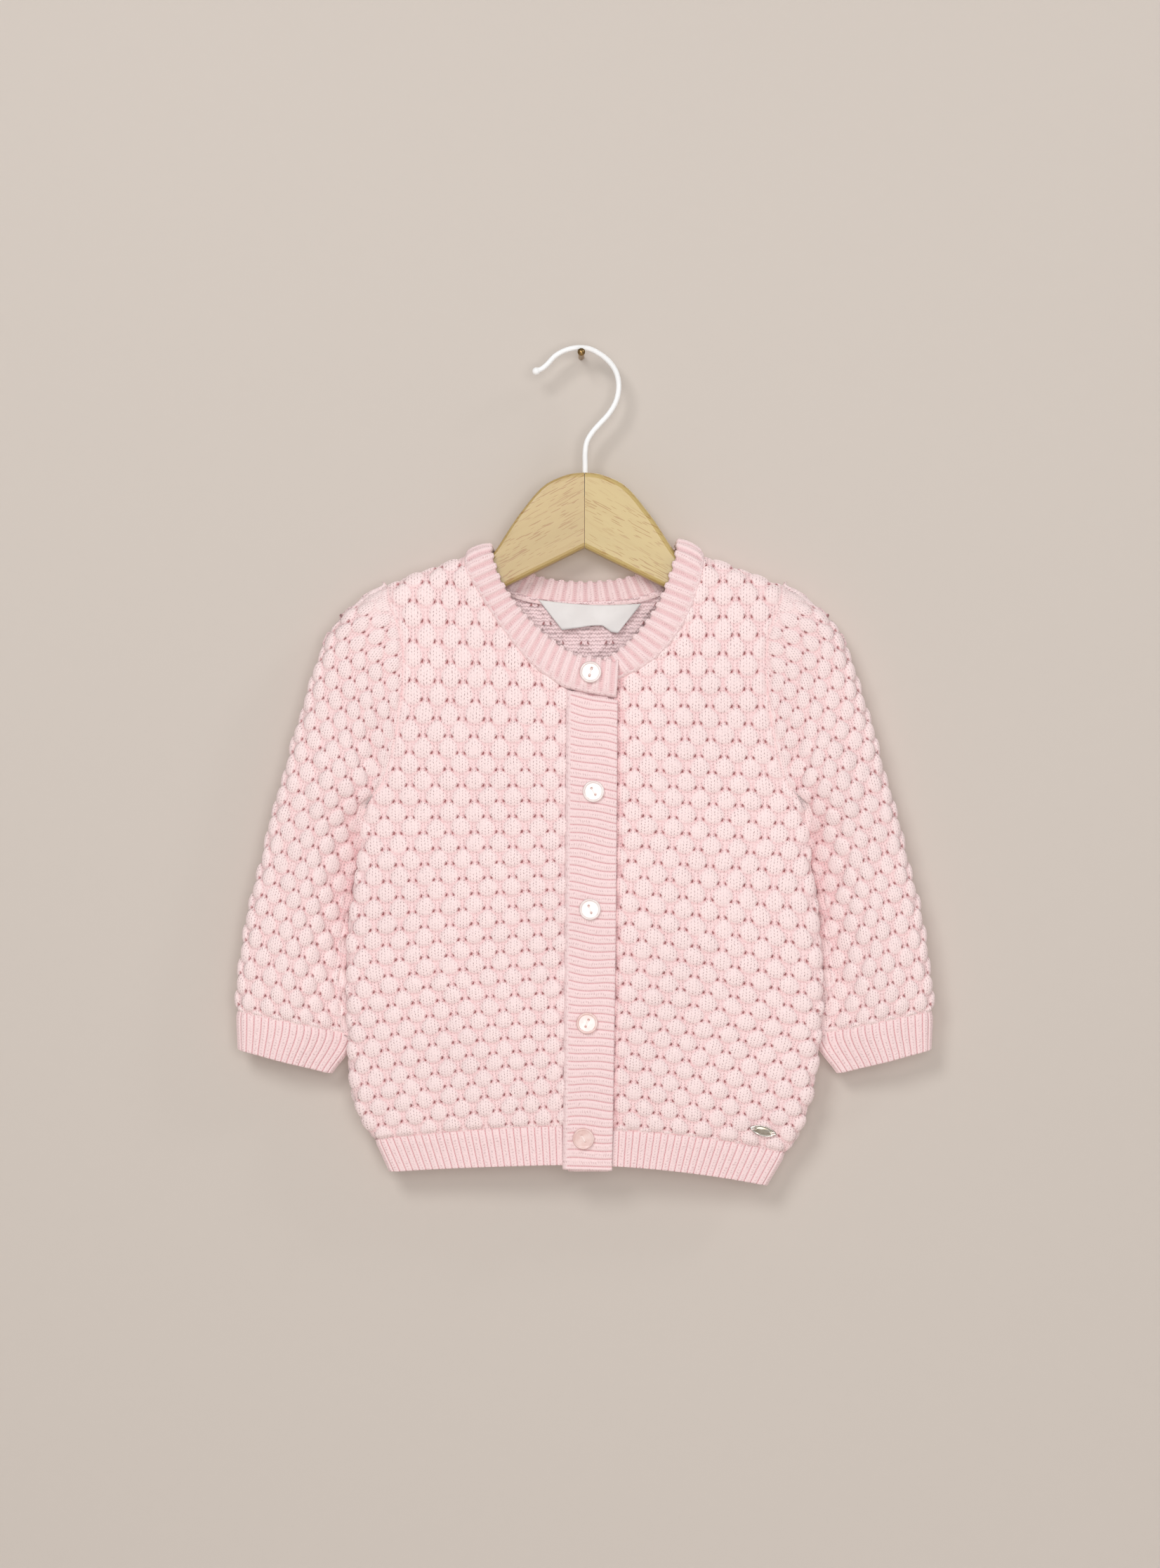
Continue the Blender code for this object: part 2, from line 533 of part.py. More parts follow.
def sleeve_and_cuff(side, tag):
    """A tube from the armhole seam to the cuff, and the rib that closes it in."""
    arm_c, arm_v, ahead = outer_boundary(side)
    arm_c = (arm_c + ahead[:, 0])[:ARMHOLE_END + 1]
    arm_v = (arm_v + ahead[:, 1])[:ARMHOLE_END + 1]
    rings, starts, seams, seam_normals, faces = [], [], [], [], []
    for face in (FRONT, BACK):
        def surface(p, q, face=face):
            return body(face, p, q)
        seam = surface(side * arm_c, arm_v)
        normal = normals_of(surface, side * arm_c, arm_v, 0.05, 0.05, outward(face))
        run, ring = on_sleeve(np.abs(seam[:, 0]), seam[:, 1], -seam[:, 2])
        run[0], ring[0] = 0.0, 0.0
        run[-1], ring[-1] = UNDERARM_RUN, 1.0
        order = slice(None) if face == FRONT else slice(-2, 0, -1)
        rings.append(ring[order])
        starts.append(run[order])
        seams.append(seam[order])
        seam_normals.append(normal[order])
        faces.append(np.full(len(ring[order]), face))
    ring, start = np.concatenate(rings), np.concatenate(starts)
    seam, seam_normal = np.concatenate(seams), np.concatenate(seam_normals)
    face = np.concatenate(faces)
    share = np.linspace(0, 1, 14)[:, None] ** 1.15
    run = start + (CUFF_RUN[0] - GAP / 2 - start) * share
    outer, normal = tube(side, run, ring, face)
    seam[ARMHOLE_END, 0] += side * UNDERARM_EASE
    settled = ease(share / SEAM_EASE)[:, :, None]
    outer[..., 1:2] = outer[..., 1:2] * settled + seam[:, 1:2] * (1 - settled)
    outer[0], normal[0] = seam, seam_normal
    normal[0, ARMHOLE_END] = side * UNDERARM_NORMAL[0], 0, UNDERARM_NORMAL[1]
    wall(f"sleeve_{tag}", outer, normal, KNIT, KNIT_LOOK, ring=True)
    run = np.linspace(CUFF_RUN[0] + 1.5 * GAP, CUFF_RUN[1], 3)[:, None] + 0 * ring
    outer, normal = tube(side, run, ring, face)
    wall(f"cuff_{tag}", outer - normal * RIB_INSET, normal, RIB, RIB_LOOK, ring=True)


def tube(side, run, ring, face):
    """Points and outward normals of rings of a sleeve."""
    ring = np.broadcast_to(ring, run.shape)
    points, normals = np.zeros(run.shape + (3,)), np.zeros(run.shape + (3,))
    for which in (FRONT, BACK):
        def surface(p, q, which=which):
            return sleeve(side, p, q, which)
        middle = surface(run, np.full(run.shape, 0.5))
        middle[..., 1] = read(SLEEVE, "mid_outer", run) * 0.5 + read(SLEEVE, "mid_inner", run) * 0.5
        normal = normals_of(surface, run, ring, 0.3, 0.004, lambda p: p - middle)
        chosen = face == which
        points[:, chosen] = surface(run, ring)[:, chosen]
        normals[:, chosen] = normal[:, chosen]
    return points, normals


def neckband():
    """One band round the neck: over end, right side, back, left side, under end."""
    def stations(table, side, sign, ks):
        seam = [side * read(table, "seam_x", ks), sign * read(table, "reach", ks),
                -read(table, "seam_drop", ks)]
        tilt = side * NECK_TILT * (1 - ease(ks / 4))
        free = [side * read(table, "free_x", ks), sign * read(table, "reach", ks),
                tilt - read(table, "free_drop", ks)]
        return np.stack([np.stack(seam, -1), np.stack(free, -1)], axis=1)

    front_k = np.concatenate([[10, 9], np.linspace(NECK_CORNER, 2, 7), np.linspace(2, 0, 4)[1:-1]])
    back_k = np.arange(8.0)
    loop = np.concatenate([
        stations(NECK_RIGHT, RIGHT, FRONT, front_k),
        stations(NECK_BACK, RIGHT, BACK, back_k),
        stations(NECK_BACK, LEFT, BACK, back_k[-2::-1]),
        stations(NECK_LEFT, LEFT, FRONT, front_k[::-1])])
    seam, free = loop[:, 0], loop[:, 1]
    flat = np.stack([seam, (seam + free) / 2, free], axis=1)
    shoulder, up = len(front_k), np.array([0.0, 0.0, 1.0])
    flat[:, 1] += grid_normals(flat, shoulder, up)[:, 1] * NECK_CROWN
    wall("neckband", flat, grid_normals(flat, shoulder, up), RIB, RIB_LOOK)


def band_front(drop, lift):
    """Depth of the flat centre front, moved out by lift."""
    return -(read(BODY, "front", drop) + lift)


def button_bands():
    share = np.linspace(0, 1, 13)[:, None]
    across = np.array([0.0, 0.5, 1.0])
    top = np.array([179.1, 182.4, 184.5])
    low = 430.4 + 0.6 * across
    drop = top * (1 - share) + low * share
    left, right = -read(BAND, "seam", drop), read(BAND, "free", drop)
    x = left + (right - left) * across
    outer = np.stack([x, band_front(drop, BAND_LIFT), -drop], axis=-1)
    forward = np.broadcast_to(np.array([0.0, -1.0, 0.0]), outer.shape)
    wall("button_band", outer, forward, RIB, RIB_LOOK)

    low_x, high_x = UNDER_BAND["x"]
    drop = (UNDER_BAND["top"] + (UNDER_BAND["bottom"] - UNDER_BAND["top"]) * share) + 0 * across
    x = low_x + (high_x - low_x) * across + 0 * drop
    outer = np.stack([x, band_front(drop, 0.0), -drop], axis=-1)
    forward = np.broadcast_to(np.array([0.0, -1.0, 0.0]), outer.shape)
    wall("button_band_under", outer, forward, RIB, RIB_LOOK)


# ------------------------------------------------------------------ trims

def turned(profile, steps):
    """Points and faces of a profile of (radius, height) turned round its own axis."""
    points, faces = [], []
    for radius, height in profile:
        for i in range(steps):
            angle = 2 * math.pi * i / steps
            points.append((radius * math.cos(angle), -height, radius * math.sin(angle)))
    for ring in range(len(profile) - 1):
        for i in range(steps):
            a, b = ring * steps + i, ring * steps + (i + 1) % steps
            faces.append((a, b, b + steps, a + steps))
    faces.append(tuple(range(steps)))
    faces.append(tuple(reversed(range(len(points) - steps, len(points)))))
    return points, faces


def button_mesh():
    """A thin disc with a rolled rim, a dished face and two holes."""
    r, t = BUTTON_RADIUS, BUTTON_THICK
    profile = [(r - 1.2, 0.0), (r - 0.3, 0.5), (r, 1.2), (r - 0.5, t - 0.15), (r - 1.1, t),
               (r - 1.9, t - 0.5), (r - 2.6, t - 0.9)]
    points, faces = turned(profile, 28)
    disc = solid("button_blank", points, faces, ("pearl", PEARL, 0.25), centred=False)
    for hole in (-1.25, 1.25):
        points, faces = turned([(0.62, -1.0), (0.62, t + 1.0)], 12)
        cutter = solid("hole", [(x, y, z + hole) for x, y, z in points], faces,
                       ("pearl", PEARL, 0.25), centred=False)
        cutter.hide_render = True
        cut = disc.modifiers.new("hole", "BOOLEAN")
        cut.operation, cut.solver, cut.object = "DIFFERENCE", "EXACT", cutter
        bpy.context.view_layer.update()
        made = bpy.data.meshes.new_from_object(
            disc.evaluated_get(bpy.context.evaluated_depsgraph_get()))
        disc.modifiers.remove(cut)
        disc.data = made
        bpy.data.objects.remove(cutter)
    mesh = disc.data
    bpy.data.objects.remove(disc)
    mesh.name = "button"
    mesh.shade_smooth()
    mesh.set_sharp_from_angle(angle=math.radians(35))
    return mesh


def buttons():
    mesh = button_mesh()
    for i, (x, drop) in enumerate(zip(BUTTONS["x"], BUTTONS["drop"])):
        made = bpy.data.objects.new(f"button_{i + 1}", mesh)
        slope = float(band_front(drop + 5, 0) - band_front(drop - 5, 0)) / 10
        made.rotation_euler = (math.atan(slope), math.radians(12 if i == 0 else 4 * i - 6), 0)
        seat = float(band_front(drop, BAND_LIFT)) - GAP - 0.1 if i else NECK_BUTTON_SEAT
        made.location = ((x + CENTRE_X) * MM, seat * MM, -drop * MM)
        bpy.context.scene.collection.objects.link(made)


def neck_label():
    """A flat tape behind the neck, its ends mitred, lying on the inside of the back."""
    share, across = np.linspace(0, 1, 4)[:, None], np.linspace(0, 1, 7)
    drop_top = LABEL["top_drop"][0] + (LABEL["top_drop"][1] - LABEL["top_drop"][0]) * across
    drop_low = LABEL["bottom_drop"][0] + (LABEL["bottom_drop"][1] - LABEL["bottom_drop"][0]) * across
    drop = drop_top * (1 - share) + drop_low * share
    left = LABEL["top_x"][0] * (1 - share) + LABEL["bottom_x"][0] * share
    right = LABEL["top_x"][1] * (1 - share) + LABEL["bottom_x"][1] * share
    x = left + (right - left) * across
    y = body(BACK, x, drop)[..., 1] - KNIT - GAP
    inside = np.broadcast_to(np.array([0.0, 1.0, 0.0]), x.shape + (3,))
    wall("neck_label", np.stack([x, y, -drop], axis=-1), inside, LABEL["thick"],
         ("label_tape", (0.84, 0.83, 0.80), 0.6))


def metal_plate():
    """A small bare oval sewn to the left front, flat with the cloth under it."""
    c, drop = PLATE["c"], PLATE["drop"]
    seat = body(FRONT, c, drop)
    along = body(FRONT, c + 1, drop) - body(FRONT, c - 1, drop)
    up = body(FRONT, c, drop - 1) - body(FRONT, c, drop + 1)
    along /= np.linalg.norm(along)
    out = np.cross(along, up)
    out /= np.linalg.norm(out)
    out = out * np.sign(-out[1])
    up = np.cross(out, along)
    up = up * np.sign(up[2])
    turn = PLATE["tilt"]
    long_way = along * math.cos(turn) + up * math.sin(turn)
    short_way = up * math.cos(turn) - along * math.sin(turn)
    steps, points, faces = 28, [], []
    for size, height in ((1.0, 0.45), (1.0, 0.45 + PLATE["thick"]), (0.9, 0.6 + PLATE["thick"]),
                         (0.82, 0.35 + PLATE["thick"])):
        for i in range(steps):
            angle = 2 * math.pi * i / steps
            points.append(seat + out * height
                          + long_way * PLATE["half_length"] * size * math.cos(angle)
                          + short_way * PLATE["half_width"] * size * math.sin(angle))
    for ring in range(3):
        for i in range(steps):
            a, b = ring * steps + i, ring * steps + (i + 1) % steps
            faces.append((a, b, b + steps, a + steps))
    faces.append(tuple(reversed(range(steps))))
    faces.append(tuple(range(3 * steps, 4 * steps)))
    solid("metal_plate", points, faces, ("polished_metal", STEEL, 0.2, 1.0))


# ------------------------------------------------------------------ the hanger

def through(points, per_span):
    """A smooth curve through a list of points."""
    xy = np.array(points, float)
    run = np.concatenate([[0], np.cumsum(np.linalg.norm(np.diff(xy, axis=0), axis=1))])
    at = np.concatenate([np.linspace(run[i], run[i + 1], per_span, endpoint=False)
                         for i in range(len(run) - 1)] + [run[-1:]])
    slope = np.gradient(xy, run, axis=0)
    i = np.clip(np.searchsorted(run, at, side="right") - 1, 0, len(run) - 2)
    h = (run[i + 1] - run[i])[:, None]
    t = (at - run[i])[:, None] / h
    return ((1 + 2 * t) * (1 - t) ** 2 * xy[i] + t * (1 - t) ** 2 * h * slope[i]
            + t * t * (3 - 2 * t) * xy[i + 1] + t * t * (t - 1) * h * slope[i + 1])


def hanger_arms():
    """Two boards that meet in a mitre under the hook, rounded along every edge."""
    centre, radius = ARM_END["centre"], ARM_END["radius"]
    tip = [(centre[0] + radius * math.sin(angle), centre[1] - radius * math.cos(angle))
           for angle in np.linspace(0.35, math.pi - 0.2, 8)]
    outline = [tuple(p) for p in through(HEAD, 2)] + tip + [tuple(p) for p in through(ARM_BOTTOM, 2)]
    cutter = socket_cutter()
    for side, tag in ((RIGHT, "right"), (LEFT, "left")):
        work = bmesh.new()
        mitre = GAP / 2
        ring = [work.verts.new(((side * max(x, mitre) + CENTRE_X) * MM, -WOOD * MM, -drop * MM))
                for x, drop in outline]
        face = work.faces.new(ring)
        grown = bmesh.ops.extrude_face_region(work, geom=[face])
        moved = [g for g in grown["geom"] if isinstance(g, bmesh.types.BMVert)]
        bmesh.ops.translate(work, vec=(0, 2 * WOOD * MM, 0), verts=moved)
        bmesh.ops.recalc_face_normals(work, faces=work.faces)
        at_mitre = CENTRE_X * MM + side * mitre * MM
        rims = [e for e in work.edges
                if abs(e.verts[0].co.y - e.verts[1].co.y) < 1e-7
                and not all(abs(v.co.x - at_mitre) < 1e-6 for v in e.verts)]
        bmesh.ops.bevel(work, geom=rims, offset=WOOD_BEVEL * MM, segments=3, profile=0.5,
                        affect="EDGES", clamp_overlap=True)
        mesh = bpy.data.meshes.new(f"hanger_arm_{tag}")
        work.to_mesh(mesh)
        work.free()
        arm = add_object(f"hanger_arm_{tag}", mesh, ("beech", BEECH, 0.5))
        cut = arm.modifiers.new("socket", "BOOLEAN")
        cut.operation, cut.solver, cut.object = "DIFFERENCE", "EXACT", cutter


def socket_cutter():
    """The hole that the hook's shank goes down into."""
    points, faces = [], []
    steps = 16
    x, top = HOOK[-1][0], -HEAD[0][1] + 4
    for z in (HOOK[-1][1] - GAP, top):
        for i in range(steps):
            angle = 2 * math.pi * i / steps
            points.append((x + (WIRE + GAP) * math.cos(angle), (WIRE + GAP) * math.sin(angle), z))
    for i in range(steps):
        j = (i + 1) % steps
        faces.append((i, j, j + steps, i + steps))
    faces.append(tuple(reversed(range(steps))))
    faces.append(tuple(range(steps, 2 * steps)))
    cutter = solid("socket_cutter", points, faces, ("beech", BEECH, 0.5), centred=False)
    cutter.hide_render = True
    cutter.display_type = "WIRE"
    return cutter


def hook():
    """White wire bent to a hook, with a small ball on its tip."""
    path = through(HOOK, 3)
    steps, points, faces = 12, [], []
    tangent = np.gradient(path, axis=0)
    tangent /= np.linalg.norm(tangent, axis=1, keepdims=True)
    radii = np.full(len(path), WIRE)
    tip = path[0]
    ball = [(-math.cos(a) * HOOK_BALL, math.sin(a) * HOOK_BALL) for a in np.linspace(0.25, 2.3, 6)]
    route = [(tip + tangent[0] * along, tangent[0], radius) for along, radius in ball]
    keep = np.linalg.norm(path - tip, axis=1) > HOOK_BALL
    route += [(p, t, r) for p, t, r in zip(path[keep], tangent[keep], radii[keep])]
    for centre, heading, radius in route:
        for i in range(steps):
            angle = 2 * math.pi * i / steps
            side = math.cos(angle) * radius
            points.append((centre[0] - heading[1] * side, math.sin(angle) * radius,
                           centre[1] + heading[0] * side))
    for ring in range(len(route) - 1):
        for i in range(steps):
            a, b = ring * steps + i, ring * steps + (i + 1) % steps
            faces.append((a, b, b + steps, a + steps))
    faces.append(tuple(reversed(range(steps))))
    faces.append(tuple(range(len(points) - steps, len(points))))
    solid("hook", points, faces, ("white_paint", WHITE, 0.35), centred=False)


def main():
    for old in list(bpy.data.objects):
        bpy.data.objects.remove(old)
    front("front_right", RIGHT, NECK_RIGHT)
    front("front_left", LEFT, NECK_LEFT)
    back()
    sleeve_and_cuff(RIGHT, "right")
    sleeve_and_cuff(LEFT, "left")
    neckband()
    button_bands()
    buttons()
    neck_label()
    metal_plate()
    hanger_arms()
    hook()


main()
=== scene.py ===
"""Looks of the baby cardigan on its wooden hanger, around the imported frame.

Millimetres inside the functions, metres in the meshes.  +X is to the right as the
front is seen, the front faces -Y, +Z is up, and z = 0 is the inside of the hook's
crown.  "drop" is the distance below it.  Left and right in the names are the wearer's.
The surfaces and their tables are the ones that the solids are made from.
"""
import math

import bpy
import numpy as np
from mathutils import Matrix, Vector


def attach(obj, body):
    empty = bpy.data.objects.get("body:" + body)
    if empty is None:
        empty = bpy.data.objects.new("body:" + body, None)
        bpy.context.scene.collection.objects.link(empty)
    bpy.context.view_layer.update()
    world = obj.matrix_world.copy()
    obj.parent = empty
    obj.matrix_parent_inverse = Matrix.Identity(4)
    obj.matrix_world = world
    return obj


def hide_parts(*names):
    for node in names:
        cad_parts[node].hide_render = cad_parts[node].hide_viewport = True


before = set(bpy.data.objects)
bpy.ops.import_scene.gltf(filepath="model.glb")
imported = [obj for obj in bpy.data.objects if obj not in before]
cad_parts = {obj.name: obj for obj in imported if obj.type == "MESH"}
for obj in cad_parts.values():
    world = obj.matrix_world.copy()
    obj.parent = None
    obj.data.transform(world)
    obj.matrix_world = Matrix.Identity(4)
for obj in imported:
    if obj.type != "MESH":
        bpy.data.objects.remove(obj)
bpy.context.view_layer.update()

MM = 0.001
CENTRE_X = 1.7              # the garment's centre line hangs this far right of the crown
FRONT, BACK = -1, 1         # direction of a face along Y
RIGHT, LEFT = -1, 1         # direction of a side along X
SHOULDER_FOLD = 9.0         # radius of the cloth where it goes over the hanger
FOLD_LENGTH = SHOULDER_FOLD * math.pi / 2
SHOULDER_TIP = 105.0        # from the centre line to the top of the sleeve
UNDERARM_DROP, UNDERARM_RUN = 243.5, 120.0      # on the body, and down the sleeve
BAND_LIFT = 2.7             # the upper button band stands this far off the front
SEAM_X = {RIGHT: 9.9, LEFT: 12.9}       # from the centre line to each front's band
RIB, TAPE = 2.2, 0.45       # thickness of a rib and of the label
RIB_INSET = 0.9             # the ribs lie this far inside the bubbles
RIB_PITCH, NECK_PITCH, BAND_PITCH = 3.7, 5.7, 4.2
LOW_RIB = (0.85, 0.16)      # height of the ribs of hem and cuffs, and share between them
HEM_COURSE, BAND_COURSE = 1.55, 1.2     # length of one stitch along a rib
CHAIN_PITCH = 1.9           # the same along the chained line beside a band's seam
HEM_LENGTH, CUFF_RIBS = 20.0, 36
CUFF_RUN = (246.0, 268.0)   # where a cuff begins and ends, down the sleeve
SEAM_EASE = 45.0            # the sleeve takes up its step to the armhole over this length

WALES, COURSES = 14, 10     # quads across one bubble's pitch and down one row of bubbles
PLAIN_WALES, PLAIN_ROWS = 8, 5      # stitches of plain knitting in the same
MEAN_PITCH = 12.6           # between two bubbles of a row
EYELET_SHAPE = ((1.50, 0.16), (1.75, 0.44), (2.0, 0.50))    # middle and half width, row by row
VALLEY = -1.1               # the knitting between the bubbles, from the solid's face
PIT = 1.0                   # depth of an eyelet
SLEEVE_PITCH, SLEEVE_ROW = 10.5, 8.5    # between the sleeve's bubbles, across and down
SLEEVE_RISE = 2.1           # height of the sleeve's bubbles
NECK_PULL, SHOULDER_PULL, ARM_PULL = 1.0, 0.55, 0.8     # how tightly each seam draws in
LOW_PULL = 0.7              # the same at the hem and the cuffs
SIDE_LIFT, ARMPIT_LIFT = 1.7, 1.2       # the cloth's lift along a side seam, and more at its top
SLEEVE_CLOSE = 1.0          # how far the sleeve's inner edge leans on the body below the underarm
ARM_TUCK = 1.2              # the sleeve's edge goes this far under the body's
WALL_Y = 0.019              # the room's wall, in metres


def columns(names, rows):
    """A table as named arrays, one for each column."""
    return dict(zip(names.split(), (np.array(values, float) for values in zip(*rows))))


BODY = columns("drop right left front back shift fold", [
    (100, 115.3, 115.3, 9.4, 9, 0, 6.5), (180, 115.3, 115.3, 11, 9.7, 0, 6.5),
    (240, 115.3, 115.3, 12.2, 10.4, 0, 6.5), (270, 118.3, 118.3, 12.8, 10.7, 2.3, 6.5),
    (300, 122.4, 122.4, 13.2, 11, 3, 6.5), (335, 124.3, 124.3, 13.6, 11.2, 3, 6.5),
    (360, 123.2, 123.2, 13.7, 11.2, 3, 6.5), (385, 122.4, 120.2, 13.5, 11, 3, 6.5),
    (400, 118.4, 116.4, 13, 10.6, 2.8, 6.3), (412, 113, 112, 12.2, 9.8, 2.2, 5.6),
    (422, 107.8, 106.8, 11.4, 9, 1.6, 4.8), (442, 99, 95, 10.6, 8.4, 1.2, 4.6)])
SHOULDER = columns("x drop", [
    (58, 106.2), (64, 108.2), (78, 113.2), (88, 117), (99, 121.2), (106, 124.2), (118, 131)])
ARMHOLE = columns("drop c", [
    (120, 105.6), (132, 103.4), (141, 100), (152, 96.6), (166, 95.6), (180, 96.6), (200, 99.4),
    (216, 102.8), (228, 107.4), (236, 112.2), (241, 116.4), (243.5, 118.8)])
SLEEVE = columns("run x drop slant width outer inner crown_f crown_b mid_outer mid_inner", [
    (0, 104.8, 123.4, 40, 72, 9, 9, 0.3, 0, 0, 0), (15, 117.5, 131, 38, 70, 9, 9, 0.3, 0, 0, 0),
    (27, 126.2, 139, 36, 68, 9, 9, 0.4, 0.2, 0, 0),
    (39, 134.1, 148.4, 34, 66, 9, 9, 0.6, 0.4, 0, 0),
    (56, 140.6, 164, 31, 62.5, 8.8, 9, 1, 0.8, 0, 0),
    (80, 148, 187.2, 27.5, 57.6, 8.4, 9, 2, 1.6, 0, 0),
    (98, 153.2, 203.9, 25, 53.4, 8, 8.4, 3, 2.2, -0.3, 0),
    (120, 158.9, 226.1, 22, 46.2, 7.6, 6.4, 3.8, 2.6, -0.6, 0),
    (144, 165.8, 248.3, 20, 52.4, 7.4, 4.7, 4.4, 3, -1, 4.4),
    (166, 170.6, 270.5, 18.5, 54, 7.2, 4.6, 4.8, 3, -1.2, 5),
    (190, 176.4, 292.7, 17, 58, 7, 4.5, 5, 3, -1.5, 5),
    (212, 180.2, 314.9, 15.5, 60.2, 7, 4.5, 4.8, 2.9, -1.5, 5),
    (234, 183.2, 337.1, 13.5, 63.2, 6.6, 4.5, 4.2, 2.6, -1, 4.8),
    (246, 183.6, 348.4, 11.6, 64, 6.2, 4.5, 4, 2.8, -0.5, 4.6),
    (268, 182.9, 368.6, 14.6, 51.4, 5, 4.4, 3.6, 3, 0.4, 3.6)])
ARMPIT_FOLD = {"x": 114.0, "half_width": 5.5, "depth": 4.2, "starts": 182.0, "full": 238.0}
NECK_RIGHT = columns("k seam_x seam_drop free_x free_drop reach", [
    (0, 63.2, 107.2, 48.8, 100.8, 0), (1, 63.8, 110.2, 48.6, 103, 6.6),
    (2, 63.2, 116.2, 47.3, 108.6, 9.5), (3, 58.5, 124.6, 44.6, 118, 9.9),
    (4, 50.8, 137.2, 37.9, 130, 10.3), (5, 39, 153.9, 28.7, 141.2, 10.9),
    (6, 27, 167, 18.6, 150.6, 11.8), (7, 17.5, 174, 10.6, 156.4, 12.8),
    (8, 9.9, 178.2, 4, 160, 13.4), (9, -3, 181.4, -6, 161.8, 13.8),
    (10, -16.8, 183.6, -18, 163.4, 13.9)])
NECK_LEFT = columns("k seam_x seam_drop free_x free_drop reach", [
    (0, 63.2, 107.2, 48.8, 100.8, 0), (1, 63.6, 110.6, 48.2, 103.6, 6.6),
    (2, 62.9, 117, 46.9, 109.6, 9.5), (3, 60.2, 126.6, 43.6, 120, 9.9),
    (4, 55.6, 138.8, 38.6, 131.8, 10.2), (5, 47.6, 152.6, 31.6, 143.2, 10.6),
    (6, 36, 164.6, 22.6, 153.2, 10.9), (7, 24.2, 171.4, 15.2, 159.4, 11),
    (8, 12.9, 175.6, 8, 162.6, 11.1), (9, 2, 178, 0, 164.2, 11.1),
    (10, -8.6, 179.2, -8, 165, 11.1)])
NECK_BACK = columns("k seam_x seam_drop free_x free_drop reach", [
    (0, 63.2, 107.2, 48.8, 100.8, 0), (1, 62.4, 110.6, 47.6, 103.8, 6.4),
    (2, 58.5, 116.8, 44.5, 108.6, 9.1), (3, 51, 123.2, 38.5, 112.6, 9.6),
    (4, 40, 129, 31, 115.8, 9.8), (5, 27, 132.8, 21.5, 118.9, 9.9),
    (6, 14, 134.4, 11, 120.6, 9.9), (7, 0, 134.9, 0, 121.2, 9.9)])
NECK_CORNER = 8             # the row of the neck tables where the button band begins
NECK_CROWN = 1.6            # how far the neckband bulges between its edges
NECK_TILT = 1.3             # how far its free edge rises at the left shoulder, falls at the right
# Drop of the rib's seam at the centre, its fall to the side, and the same for the lower edge.
HEM = {(FRONT, RIGHT): (408.0, 8.4, 428.4, 4.4), (FRONT, LEFT): (410.2, 13.4, 429.0, 11.4),
       (BACK, RIGHT): (408.6, 7.8, 429.4, 3.4), (BACK, LEFT): (408.6, 15.0, 429.4, 11.0)}
BAND = columns("drop seam free", [
    (176, 9.5, 17.4), (300, 10.4, 16.4), (400, 11.2, 15), (431, 11.6, 14.4)])
UNDER_BAND = {"x": (-8.8, 12.6), "top": 179.6, "bottom": 431.6}
LABEL_TOP = {"x": (-24.4, 30.2), "drop": (131.2, 133.2)}
BUTTONS = columns("x drop", [
    (3.1, 170), (4.6, 232.4), (2.8, 294), (1.3, 353.4), (-0.6, 413.8)])
NECK_BUTTON_SEAT = -15.7    # Y of the top button's back, on the neckband
BUTTON_BACK = ((5.3, 0.3), (4.8, 0.0))      # radius and height of the rings under a button
LABEL_LOW = columns("t x drop", [
    (0, -11.8, 147.2), (0.28, -3.3, 146), (0.5, 4.3, 144.9), (0.62, 8.6, 144.8),
    (0.76, 12.2, 146.8), (0.86, 14.2, 148.2), (1, 17.6, 148.8)])
LABEL_SEAT = 3.2            # the label hangs this far inside the back's outer face
PLATE_HALF, PLATE_SEAT = (7.4, 2.75), 0.6   # half length and half width, height off the knit
PLATE_C, PLATE_DROP, PLATE_TILT = 93.6, 410.2, math.radians(-15)

# The knit's own layout on each half: the drop of each row of bubbles at the centre, the
# pitch of its columns and their shift, and how far a row has fallen at the side seam.
ROWS = columns("j right left", [
    (-5.6, 86, 88), (-0.6, 136.2, 132.5), (4.4, 186.8, 178.4), (7.4, 213.2, 203.6),
    (10.4, 237, 227.8), (13.4, 260.6, 251.5), (17.4, 290.6, 283.1), (21.4, 321.8, 315.9),
    (25.4, 352.5, 347.2), (29.4, 381.4, 375.7), (32.4, 404.9, 398), (38, 448, 441)])
PITCH = columns("drop right left", [
    (100, 13, 13.3), (183, 13.2, 13.3), (213, 13.5, 13.5), (245, 13.5, 13.9), (277, 13.2, 13.6),
    (308, 13.25, 14.1), (337, 12.95, 14.1), (367, 12.45, 13.3), (397, 12.1, 12.5),
    (424, 11.8, 12.2)])
SHIFT = columns("drop right left", [
    (100, 1, 0.5), (213, 2.6, 0.9), (245, 2.8, 2.2), (277, 2, 2.8), (308, 2, 5.2),
    (337, 2.2, 6.2), (367, 1.8, 6.6), (397, 2.4, 5.8)])
FALL = columns("drop right left", [
    (90, -6, -4), (150, -4.6, -1), (183, -3.8, 0.8), (213, -1.7, 4.1), (237, 0.8, 5.7),
    (261, 2.3, 6.6), (291, 6.6, 11.8), (322, 8.4, 14.1), (352, 9, 14.4), (381, 12, 19),
    (405, 11.4, 18.7)])


# ------------------------------------------------------------------ the shared surfaces

